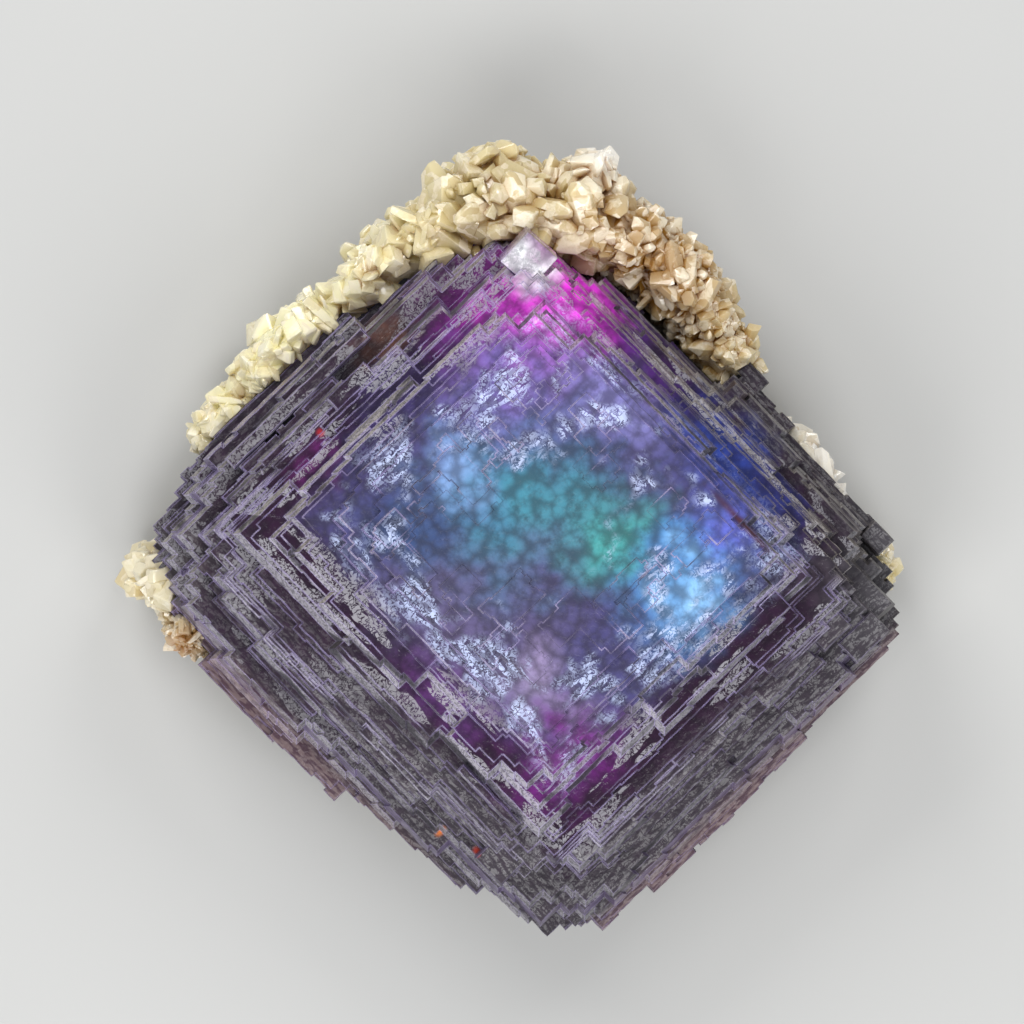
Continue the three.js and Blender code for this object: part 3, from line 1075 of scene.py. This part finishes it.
    def edges(
        self, add: Add, lie: Lie, wear: Wear, under: Socket, edge_highlight: Socket, bright: Socket
    ) -> Socket:
        """Lay the mauve band along the foot of two sides, and paint a highlight along the
        edges.

        Args:
            add: adds a node to the material's tree.
            lie: where the point lies.
            wear: how its skin is worn.
            under: the colour below.
            edge_highlight: the colour of the painted highlight on edges.
            bright: how bright the risers are.

        Returns:
            The new colour.
        """
        feet = [
            add("MapRange", SMOOTH, {0: value, 1: inner, 2: outer, 4: 0.65})
            for value, inner, outer in ((lie.x, -35.5, -40.0), (lie.y, -39.5, -43.5))
        ]
        foot = add("Math", MOST, {0: feet[0], 1: feet[1]})
        rim = add("Mix", COLOURS, {
            0: wear.lined, 6: linear(self.rim), 7: linear(self.rim_line),
        }, 2)
        colour = add("Mix", COLOURS, {0: foot, 6: under, 7: rim}, 2)
        # Painted highlight along the rounded edges, where the risers are bright.
        edge_glint = add("Math", TIMES, {0: lie.edge, 1: bright})
        hidden = add("Math", MOST, {0: wear.faint, 1: wear.tired})
        lit = add("MapRange", None, {0: hidden, 3: 1.0, 4: 0.0})
        edge_glint = add("Math", TIMES, {0: edge_glint, 1: lit})
        return add("Mix", COLOURS, {0: edge_glint, 6: colour, 7: edge_highlight}, 2)

    def dress(self, piece: bpy.types.Object, origin: Vector) -> None:
        """Give the crystal its finish.

        Args:
            piece: the crystal.
            origin: the place of the drawing's middle in the frame, in millimetres.
        """
        material, tree = new_material("grown_fluorite")
        add = functools.partial(add_node, tree)
        lie = self.lie(add, origin)
        wear = self.wear(add, lie)
        body = self.body(add, lie, wear)
        # The painted highlight is lilac, and taupe at the far right.
        far = add("MapRange", SMOOTH, {0: lie.x, 1: 29.0, 2: 33.0})
        edge_highlight = add("Mix", COLOURS, {
            0: far, 6: linear(self.edge_highlight), 7: linear(self.taupe_highlight),
        }, 2)
        colour, bright = self.ledges(add, lie, wear, body, edge_highlight)
        colour = self.edges(add, lie, wear, colour, edge_highlight, bright)

        # Frost hides the depth of the crystal, and clear skin lets it show.
        flecks = add("Math", TIMES, {0: wear.strip, 1: wear.frost_and_glint})
        chalk = add("Math", MOST, {0: flecks, 1: wear.dull})
        skin = add("MapRange", None, {0: chalk, 3: 1.0, 4: 0.1})
        depth = add("MapRange", None, {0: lie.top, 3: self.clearness, 4: 0.0})
        glass = add("Math", TIMES, {0: skin, 1: depth})
        clear = add("Math", TIMES, {0: glass, 1: lie.tread})
        steep = add("MapRange", SMOOTH, {0: lie.face_z, 1: 0.2, 2: 0.42, 3: 0.2, 4: 0.0})
        wall = add("Math", TIMES, {0: steep, 1: skin})
        shiny = add("Math", MOST, {0: clear, 1: wall})
        rough = add("MapRange", None, {0: shiny, 2: 0.25, 3: self.frosted, 4: self.glassy})
        bump = add("Bump", None, {
            "Strength": 0.6, "Distance": self.relief * MM, "Height": wear.grain,
            "Normal": lie.rounded,
        })
        surface = add("BsdfPrincipled", None, {
            "Base Color": colour, "Roughness": rough, "IOR": self.ior,
            "Transmission Weight": clear, "Normal": bump,
        })
        inside = add("VolumeAbsorption", None, {
            "Color": self.taken_up, "Density": self.density,
        })
        add("OutputMaterial", None, {"Surface": surface, "Volume": inside})
        dressed(piece, material)


# ---- The calcite ---------------------------------------------------------------


class Habit(Enum):
    """The forms that the calcite crystals take."""

    LOZENGE = "a rhomb with worn, rounded edges"
    BLOCK = "a rhomb with crisp edges"
    TOOTH = "pointed, with a few steep faces"
    BLADE = "flattened and blunt"


class Growth(Enum):
    """How the crystals of one lump have grown, as the share of each habit."""

    PALE = (Habit.LOZENGE, Habit.LOZENGE, Habit.LOZENGE, Habit.BLOCK, Habit.BLADE)
    PRESSED = (Habit.BLOCK, Habit.BLOCK, Habit.TOOTH, Habit.TOOTH, Habit.BLADE)
    FINE = (Habit.TOOTH, Habit.BLADE, Habit.BLOCK)
    SLIVERS = (Habit.BLADE, Habit.LOZENGE)


@dataclass(frozen=True)
class Lump:
    """A rough lump that carries crystals: centre, half sizes, crystal sizes and growth."""

    at: Place
    half: Place
    size: tuple[float, float]
    growth: Growth = Growth.PRESSED


@dataclass(frozen=True)
class HabitShape:
    """The shape of a habit: sides, flatness, width at the tip, and length by width."""

    sides: int
    flat: float
    tip: float
    length: float


@dataclass(frozen=True)
class Seat:
    """Where one crystal grows: its place, the way that it faces, its size and habit."""

    at: Vector
    facing: Vector
    size: float
    habit: Habit


@dataclass
class CalciteCrust:
    """The calcite crust: lumps covered with crystals, cut away for the fluorite.

    Crystals lean away from straight out by `stray`, and are sunk in by `sunk` of their
    size. None grows below `bare`, deep in another lump, or far in under the fluorite.
    """

    origin: Vector
    fluorite: bpy.types.Object
    seed: int = 2214
    core_height: float = 7.6
    core_scale: float = 0.9
    base: tuple[Point, ...] = (
        (-34, 2), (-31, -18), (-24, -32), (-8, -37), (18, -37.6), (33, -33), (38, -18),
        (41, -2), (46, 10), (46, 28), (40, 41), (22, 47), (-6, 47), (-26, 44), (-40, 38),
        (-40, 22),
    )
    foot_count: int = 22
    foot_height: float = 2.8
    foot_inset: float = 0.12
    foot_crystals: Point = (1.8, 3.6)
    coverage: float = 2.7
    stray: float = 0.55
    sunk: float = 0.3
    bare: float = 1.0
    buried_share: float = 0.82
    low_zone: float = 8.0
    low_shelter: float = 0.7
    shelter: float = 0.86
    rough_corners: int = 34
    room: float = 1.003
    ground_reach: float = 80.0
    ground_depth: float = 40.0
    flat_turn: float = 7.0
    sharp_turn: float = 18.0
    lumps: tuple[Lump, ...] = (
        Lump((43, 5, 15), (4.4, 6.2, 9), (1.2, 3.6)),
        Lump((44.4, 10, 16), (4.6, 5, 9.8), (1.4, 3.8)),
        Lump((45, 17, 18), (5.4, 8, 11.4), (1.4, 4.0)),
        Lump((44, 24, 19), (5.8, 6, 12), (1.4, 4.8)),
        Lump((41.6, 31, 20), (7, 7.6, 12.4), (1.6, 6.0)),
        Lump((46.8, 35.2, 20), (3.4, 3.4, 9), (2.2, 4.8), Growth.PALE),
        Lump((37, 36, 20), (6.4, 6.4, 12.2), (1.6, 7.0)),
        Lump((32.6, 42.4, 20), (8, 7.4, 12.4), (1.6, 7.4)),
        Lump((25, 45, 18), (7.2, 5, 12), (1.6, 6.6), Growth.PALE),
        Lump((17, 46.6, 16), (9.4, 4.4, 11.6), (2.0, 5.6), Growth.PALE),
        Lump((0, 48, 13), (11.4, 4.2, 11), (1.8, 5.6), Growth.PALE),
        Lump((-14, 47, 10), (7, 3, 8), (2.0, 4.6), Growth.PALE),
        Lump((-37, 36, 11), (4, 5.6, 11), (2.4, 4.8), Growth.PALE),
        Lump((-39.4, 28.6, 12), (3, 3.6, 10), (1.2, 2.4), Growth.FINE),
        Lump((40.4, -15, 11), (2.4, 7.4, 7.8), (2.0, 5.0), Growth.SLIVERS),
        Lump((37.6, -32, 9), (2.6, 4, 6.4), (2.0, 4.0), Growth.SLIVERS),
    )
    shapes: dict[Habit, HabitShape] = field(default_factory=lambda: {
        Habit.TOOTH: HabitShape(6, 0.9, 0.3, 0.8),
        Habit.BLADE: HabitShape(5, 0.45, 0.6, 0.8),
    })
    easing: dict[Habit, float] = field(default_factory=lambda: {
        Habit.LOZENGE: 0.05, Habit.BLOCK: 0.02, Habit.TOOTH: 0.02, Habit.BLADE: 0.02,
    })

    def foot(self, chance: random.Random) -> list[Lump]:
        """Place rough lumps all round the foot of the crust.

        Args:
            chance: the source of their places and sizes.

        Returns:
            The lumps.
        """
        corners = [Vector(point) for point in self.base]
        runs = [(end - start).length for start, end in ringed(corners)]
        result = []
        for number in range(self.foot_count):
            left = (number + chance.random() * 0.5) / self.foot_count * sum(runs)
            index = 0
            while left > runs[index]:
                left -= runs[index]
                index += 1
            after = corners[(index + 1) % len(corners)]
            point = corners[index].lerp(after, left / runs[index])
            point = point.lerp(MIDDLE, self.foot_inset)
            half = (chance.uniform(5, 7), chance.uniform(5, 7), chance.uniform(4.6, 6.4))
            at = (point.x, point.y, self.foot_height)
            result.append(Lump(at, half, self.foot_crystals))
        return result

    def hull(self, points: list[Vector], bevel: float) -> bmesh.types.BMesh:
        """Build the convex body round some points, with its edges eased.

        Args:
            points: corners in millimetres, in the drawing.
            bevel: how far the edges are eased.

        Returns:
            A closed body.
        """
        work = bmesh.new()
        for point in points:
            work.verts.new(point)
        found = bmesh.ops.convex_hull(work, input=work.verts)
        loose = dict.fromkeys((*found["geom_unused"], *found["geom_interior"]))
        spare = [item for item in loose if isinstance(item, bmesh.types.BMVert)]
        if spare:
            bmesh.ops.delete(work, geom=spare, context="VERTS")
        bmesh.ops.dissolve_limit(
            work, angle_limit=math.radians(self.flat_turn), verts=work.verts,
            edges=work.edges,
        )
        if bevel:
            bmesh.ops.bevel(
                work, geom=work.edges[:], offset=bevel, segments=1, affect="EDGES",
                clamp_overlap=True,
            )
        return work

    def crystal(self, seat: Seat, chance: random.Random) -> bmesh.types.BMesh:
        """Build one crystal.

        Args:
            seat: where it grows, its size and its form.
            chance: the source of its unevenness.

        Returns:
            A closed body.
        """
        turn = seat.facing.to_track_quat("Z", "Y").to_matrix() @ Matrix.Rotation(
            chance.uniform(0, math.tau), 3, "Z"
        )
        if seat.habit in self.shapes:
            points = self.spire(seat.size, self.shapes[seat.habit], chance)
        else:
            points = self.rhomb(seat.size, chance)
        corners = [seat.at + turn @ point for point in points]
        return self.hull(corners, seat.size * self.easing[seat.habit])

    def spire(self, size: float, shape: HabitShape, chance: random.Random) -> list[Vector]:
        """Find the corners of a many-sided crystal that stands upright.

        Args:
            size: its width.
            shape: its proportions.
            chance: the source of its unevenness.

        Returns:
            Its corners, round the point that it grows from.
        """
        points = []
        shear = Vector((chance.uniform(-0.4, 0.4), chance.uniform(-0.4, 0.4)))
        length = size * shape.length
        for level, width in ((-0.9, 0.9), (0.5, 1.0), (1.0, shape.tip)):
            for side in range(shape.sides):
                angle = math.tau * (side + chance.uniform(-0.22, 0.22)) / shape.sides
                radius = size * 0.5 * width * chance.uniform(0.8, 1.12)
                rise = length * (level + chance.uniform(-0.12, 0.12))
                points.append(Vector((
                    radius * math.cos(angle) + shear.x * rise,
                    radius * math.sin(angle) * shape.flat + shear.y * rise,
                    rise,
                )))
        return points

    def rhomb(self, size: float, chance: random.Random) -> list[Vector]:
        """Find the corners of a calcite rhomb that stands on one of its points.

        Args:
            size: its width.
            chance: the source of its unevenness.

        Returns:
            Its corners, round its middle.
        """
        upright = Vector((1, 1, 1)).rotation_difference(Vector((0, 0, 1)))
        sides = [size * 0.36 * chance.uniform(0.6, 1.4) for _ in range(3)]
        squash = chance.uniform(0.65, 1.1)
        points = []
        for x, y, z in itertools.product((-1, 1), repeat=3):
            point = upright @ Vector((x * sides[0], y * sides[1], z * sides[2]))
            stray = Vector([chance.uniform(-0.12, 0.12) for _ in range(3)]) * size
            points.append(Vector((point.x, point.y, point.z * squash)) + stray)
        return points

    def scattered(self, lumps: list[Lump], chance: random.Random) -> list[Seat]:
        """Choose where crystals grow on the lumps.

        Args:
            lumps: the lumps.
            chance: the source of the places.

        Returns:
            The seat of each crystal.
        """
        result = []
        for lump in lumps:
            half = Vector(lump.half)
            mean = sum(lump.size) / 2
            area = 4 * math.pi * (half.x * half.y + half.y * half.z + half.x * half.z) / 3
            for _ in range(int(area / mean**2 * self.coverage)):
                way = any_way(chance).normalized()
                at = Vector(lump.at) + Vector([a * b for a, b in zip(way, half)])
                size = chance.triangular(*lump.size, lump.size[0])
                facing = Vector([a / b for a, b in zip(way, half)]).normalized()
                facing = (facing + any_way(chance, self.stray)).normalized()
                habit = chance.choice(lump.growth.value)
                if at.z < self.bare or self.sheltered(at) or self.buried(at, lump, lumps):
                    continue
                result.append(Seat(at - facing * size * self.sunk, facing, size, habit))
        return result

    def sheltered(self, at: Vector) -> bool:
        """Say whether a point lies too far in under the fluorite for crystals."""
        flat = Vector((at.x, at.y)) - MIDDLE
        share = self.low_shelter if at.z < self.low_zone else self.shelter
        return flat.length < reach(list(RIM.points), flat.normalized()) * share

    def buried(self, at: Vector, own: Lump, lumps: list[Lump]) -> bool:
        """Find out whether a point lies well inside another lump.

        Args:
            at: the point.
            own: the lump that it is on.
            lumps: all the lumps.

        Returns:
            True if it is buried.
        """
        for lump in lumps:
            if lump is own:
                continue
            away = [(a - b) / c for a, b, c in zip(at, lump.at, lump.half)]
            if Vector(away).length < self.buried_share:
                return True
        return False

    def rough(self, lump: Lump, chance: random.Random) -> bmesh.types.BMesh:
        """Build the rough body of a lump.

        Args:
            lump: the lump.
            chance: the source of its unevenness.

        Returns:
            A closed body.
        """
        points = []
        for _ in range(self.rough_corners):
            way = any_way(chance).normalized()
            points.append(Vector(lump.at) + Vector([a * b for a, b in zip(way, lump.half)]))
        return self.hull(points, 0.0)

    def grouped(self, bodies: list[bmesh.types.BMesh]) -> list[bpy.types.Mesh]:
        """Gather bodies into as few meshes as can be with no overlap within one.

        Args:
            bodies: closed bodies in millimetres.

        Returns:
            Closed meshes in metres.
        """
        groups: list[tuple[list, bmesh.types.BMesh]] = []
        for body in bodies:
            low = Vector([min(vert.co[axis] for vert in body.verts) for axis in range(3)])
            high = Vector([max(vert.co[axis] for vert in body.verts) for axis in range(3)])
            for boxes, whole in groups:
                if all(
                    any(low[k] > other[1][k] or high[k] < other[0][k] for k in range(3))
                    for other in boxes
                ):
                    break
            else:
                boxes, whole = [], bmesh.new()
                groups.append((boxes, whole))
            boxes.append((low, high))
            verts = {vert: whole.verts.new(vert.co) for vert in body.verts}
            for face in body.faces:
                whole.faces.new([verts[vert] for vert in face.verts])
            body.free()
        meshes = []
        for _, whole in groups:
            bmesh.ops.transform(
                whole, matrix=Matrix.Scale(MM, 4) @ Matrix.Translation(self.origin),
                verts=whole.verts,
            )
            bmesh.ops.recalc_face_normals(whole, faces=whole.faces)
            meshes.append(finished(whole, "group"))
        return meshes

    def hollow(self) -> list[bpy.types.Mesh]:
        """Build what is cut away: the fluorite with a hair's room, and the ground."""
        far = self.ground_reach
        ground = prism(rectangle((-far, -far), (2 * far, 2 * far)), -self.ground_depth, 0)
        room = self.fluorite.data.copy()
        middle = Matrix.Translation((Vector((*MIDDLE, 24)) + self.origin) * MM)
        room.transform(middle @ Matrix.Scale(self.room, 4) @ middle.inverted())
        return [room, *self.grouped([ground])]

    def without_chips(self, mesh: bpy.types.Mesh) -> bpy.types.Mesh:
        """Take away every part of a mesh that isn't joined to its largest part.

        Args:
            mesh: the mesh, which is changed.

        Returns:
            The same mesh.
        """
        work = bmesh.new()
        work.from_mesh(mesh)
        left = set(work.verts)
        islands = []
        while left:
            island, edge = set(), [left.pop()]
            while edge:
                vert = edge.pop()
                island.add(vert)
                for link in vert.link_edges:
                    other = link.other_vert(vert)
                    if other in left:
                        left.remove(other)
                        edge.append(other)
            islands.append(island)
        islands.sort(key=len)
        spare = [vert for island in islands[:-1] for vert in island]
        bmesh.ops.delete(work, geom=spare, context="VERTS")
        work.to_mesh(mesh)
        work.free()
        return mesh

    def build(self) -> bpy.types.Object:
        """Build the whole crust as one closed mesh."""
        chance = random.Random(self.seed)
        lumps = [*self.lumps, *self.foot(chance)]
        core = prism(scaled(list(self.base), self.core_scale), -1, self.core_height)
        bodies = [core, *(self.rough(lump, chance) for lump in lumps)]
        seats = self.scattered(lumps, chance)
        bodies += [self.crystal(seat, chance) for seat in seats]
        log.info("calcite crystals: %d", len(seats))
        whole = combined(self.grouped(bodies))
        cut = combined([whole, *self.hollow()], "DIFFERENCE")
        crust = object_from(self.without_chips(cut), "calcite_crust")
        crust.data.shade_smooth()
        crust.data.set_sharp_from_angle(angle=math.radians(self.sharp_turn))
        return crust


# ---- Finish of the calcite -----------------------------------------------------


@dataclass(frozen=True)
class StainedCalcite:
    """Calcite as it grew: milky, glassy crystals, with iron stain in the gaps.

    The crystals scatter light inside, so that thin edges glow. Honey-coloured stain
    gathers where they meet, and tiny steps on their faces sparkle.
    """

    body: str = "d2c08a"
    patches: tuple[Patch, ...] = (
        Patch((44, 18, 22), (24, 34, 60), "a68446", 1.0),
        Patch((45, 20, 22), (12, 16, 40), "8e6014", 0.8),
        Patch((32, 43, 26), (14, 12, 30), "a8945e", 0.9),
        Patch((49.6, 35.8, 20), (7.5, 7, 40), "fffaf0", 1.0),
        Patch((0, 50, 14), (38, 14, 60), "fff6c4", 1.0),
        Patch((-37, 38, 12), (8, 9, 24), "f6eaca", 1.0),
        Patch((-42.5, 27.4, 12), (10, 8, 60), "8c5000", 1.0),
        Patch((42, -18, 12), (9, 22, 16), "fbf8f2", 1.0),
    )
    stain: str = "9a6012"
    core: str = "a5844c"
    stain_at: Place = (41, 20, 22)
    stain_half: Place = (24, 32, 60)
    # Colour of the milky veils, and of the painted light on open tips.
    light: str = "fff4dc"
    ior: float = 1.58
    roughness: float = 0.08
    clearness: float = 0.08
    scatter: float = 0.4
    scatter_reach: Place = (1.0, 0.95, 0.8)
    scatter_scale: float = 0.005
    gap_reach: float = 2.5
    relief: float = 0.3

    def milky(self, add: Add, mm: Socket, cloud: Socket) -> Socket:
        """Colour the crystals, some clearer and some milkier inside.

        Args:
            add: adds a node to the material's tree.
            mm: the place in the drawing, in millimetres.
            cloud: an uneven cloudiness.

        Returns:
            The colour.
        """
        colour = linear(self.body)
        for patch in self.patches:
            colour = patch.over(add, mm, colour)

        # Flat veils inside the crystals, 2 mm across, make them clearer or milkier.
        cleaved = {"distance": "CHEBYCHEV"}
        cells = add("TexVoronoi", cleaved, {"Vector": mm, "Scale": 0.5}, "Color")
        for axis, low, high, most, code in (
            ("Y", 0.22, 0.5, 0.4, self.core), ("X", 0.2, 0.48, 0.55, self.light)
        ):
            veil = add("Math", TIMES, {0: add("SeparateXYZ", None, {0: cells}, axis), 1: cloud})
            share = add("MapRange", SMOOTH, {0: veil, 1: low, 2: high, 4: most})
            colour = add("Mix", COLOURS, {0: share, 6: colour, 7: linear(code)}, 2)
        return colour

    def stained(self, add: Add, mm: Socket, under: Socket) -> Socket:
        """Lay iron stain in the gaps between the crystals, and paint their open tips lighter,
        as painted light.

        Args:
            add: adds a node to the material's tree.
            mm: the place in the drawing, in millimetres.
            under: the colour below.

        Returns:
            The new colour.
        """
        open_air = add("AmbientOcclusion", {"samples": 2, "only_local": True}, {
            "Distance": self.gap_reach * MM,
        }, "AO")
        # Painted light: open tips, which the local occlusion finds unshaded, are painted
        # lighter.
        tip = add("MapRange", SMOOTH, {0: open_air, 1: 0.8, 2: 1.0, 4: 0.2})
        colour = add("Mix", COLOURS, {0: tip, 6: under, 7: linear(self.light)}, 2)
        gap = add("MapRange", SMOOTH, {0: open_air, 1: 0.66, 2: 0.15, 4: 0.85})
        patchy = add("TexNoise", None, {"Vector": mm, "Scale": 0.16, "Detail": 2.0})
        bank = add("Mapping", {"vector_type": "TEXTURE"}, {
            "Vector": mm, "Location": self.stain_at, "Scale": self.stain_half,
        })
        ball = add("TexGradient", BALL, {0: bank}, 1)
        local = add("MapRange", SMOOTH, {0: ball, 2: 0.3, 3: -0.14, 4: 0.14})
        spread = add("Math", None, {0: patchy, 1: local})
        much = add("MapRange", SMOOTH, {0: spread, 1: 0.36, 2: 0.6, 3: 0.05})
        share = add("Math", TIMES, {0: gap, 1: much})
        return add("Mix", COLOURS, {0: share, 6: colour, 7: linear(self.stain)}, 2)

    def dress(self, piece: bpy.types.Object, origin: Vector) -> None:
        """Give the crust its finish.

        Args:
            piece: the crust.
            origin: the place of the drawing's middle in the frame, in millimetres.
        """
        material, tree = new_material("stained_calcite")
        add = functools.partial(add_node, tree)
        mm = add("Mapping", None, {
            "Vector": add("TexCoord", out="Object"), "Location": -origin,
            "Scale": (1 / MM,) * 3,
        })
        cloud = add("TexNoise", None, {
            "Vector": mm, "Scale": 0.6, "Detail": 4.0, "Roughness": 0.7, "Distortion": 0.8,
        })
        colour = self.stained(add, mm, self.milky(add, mm, cloud))
        bump = add("Bump", None, {
            "Strength": 0.3, "Distance": self.relief * MM, "Height": cloud,
        })
        surface = add("BsdfPrincipled", None, {
            "Base Color": colour, "Roughness": self.roughness, "IOR": self.ior,
            "Subsurface Weight": self.scatter, "Subsurface Radius": self.scatter_reach,
            "Subsurface Scale": self.scatter_scale,
            "Transmission Weight": self.clearness, "Normal": bump,
        })
        add("OutputMaterial", None, {"Surface": surface})
        dressed(piece, material)


# ---- Studio --------------------------------------------------------------------


@dataclass(frozen=True)
class SoftBox:
    """A square soft light that points at the specimen: place, side and power."""

    name: str
    at: Place
    side: float
    power: float


@dataclass(frozen=True)
class Studio:
    """The pale floor, the soft lights and the camera."""

    floor_colour: str = "adadab"
    floor_roughness: float = 0.6
    floor_reach: float = 2.0
    room_light: Colour = (0.30, 0.31, 0.33, 1.0)
    boxes: tuple[SoftBox, ...] = (
        SoftBox("lower_left", (-0.32, -0.10, 0.40), 0.25, 1.6),
        SoftBox("lower_right", (-0.04, -0.34, 0.40), 0.25, 1.2),
        SoftBox("upper", (0.08, 0.36, 0.40), 0.25, 1.6),
        SoftBox("right", (0.34, 0.08, 0.40), 0.2, 1.0),
    )
    camera_at: Place = (0.0016, 0.004, 0.83)
    camera_turn: float = -44.0
    lens: float = 200.0
    nearest: float = 0.01

    def floor(self) -> None:
        """Lay the floor at the height that the specimen rests on."""
        work = bmesh.new()
        bmesh.ops.create_grid(work, x_segments=1, y_segments=1, size=self.floor_reach)
        floor = object_from(finished(work, "floor"), "floor")
        material, tree = new_material("pale_floor")
        surface = add_node(tree, "BsdfPrincipled", None, {
            "Base Color": linear(self.floor_colour), "Roughness": self.floor_roughness,
        })
        add_node(tree, "OutputMaterial", None, {"Surface": surface})
        dressed(floor, material)

    def lights(self) -> None:
        """Hang the soft boxes and light the room."""
        for box in self.boxes:
            light = bpy.data.objects.new(box.name, bpy.data.lights.new(box.name, "AREA"))
            light.data.size = box.side
            light.data.energy = box.power
            light.location = box.at
            light.rotation_euler = (-Vector(box.at)).to_track_quat("-Z", "Y").to_euler()
            bpy.context.scene.collection.objects.link(light)
        world = bpy.data.worlds.new("room")
        world.use_nodes = True
        world.node_tree.nodes["Background"].inputs["Color"].default_value = self.room_light
        bpy.context.scene.world = world

    def camera(self) -> None:
        """Set the camera straight above the specimen, turned so that a corner is up."""
        camera = bpy.data.objects.new("camera", bpy.data.cameras.new("camera"))
        bpy.context.scene.collection.objects.link(camera)
        camera.location = self.camera_at
        camera.rotation_euler = (0, 0, math.radians(self.camera_turn))
        camera.data.lens = self.lens
        camera.data.clip_start = self.nearest
        bpy.context.scene.camera = camera
        bpy.context.scene.view_settings.view_transform = "Standard"

    def build(self) -> None:
        """Set up the whole studio."""
        self.floor()
        self.lights()
        self.camera()


# ---- Run -----------------------------------------------------------------------


def handed_over(piece: bpy.types.Object, node: str) -> None:
    """Say what a piece rides on and which solid it stands for, and log its faces.

    Args:
        piece: the piece.
        node: the name of the solid that it replaces.
    """
    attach(piece, "root")
    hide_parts(node)
    log.info("%s: %d faces", piece.name, len(piece.data.polygons))


def main() -> None:
    """Build the pieces in order and report each one."""
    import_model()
    low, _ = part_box("fluorite_crystal")
    corner = Vector((low.x / MM, low.y / MM)) - RIM_LEFT_FRONT
    origin = Vector((corner.x, corner.y, 0.0))

    crystal = FluoriteCrystal(origin).build()
    GrownFluorite().dress(crystal, origin)
    handed_over(crystal, "fluorite_crystal")

    crust = CalciteCrust(origin, crystal).build()
    StainedCalcite().dress(crust, origin)
    handed_over(crust, "calcite_matrix")

    Studio().build()


if __name__ == "__main__":
    logging.basicConfig(level=logging.INFO, format="%(name)s: %(message)s")
    main()
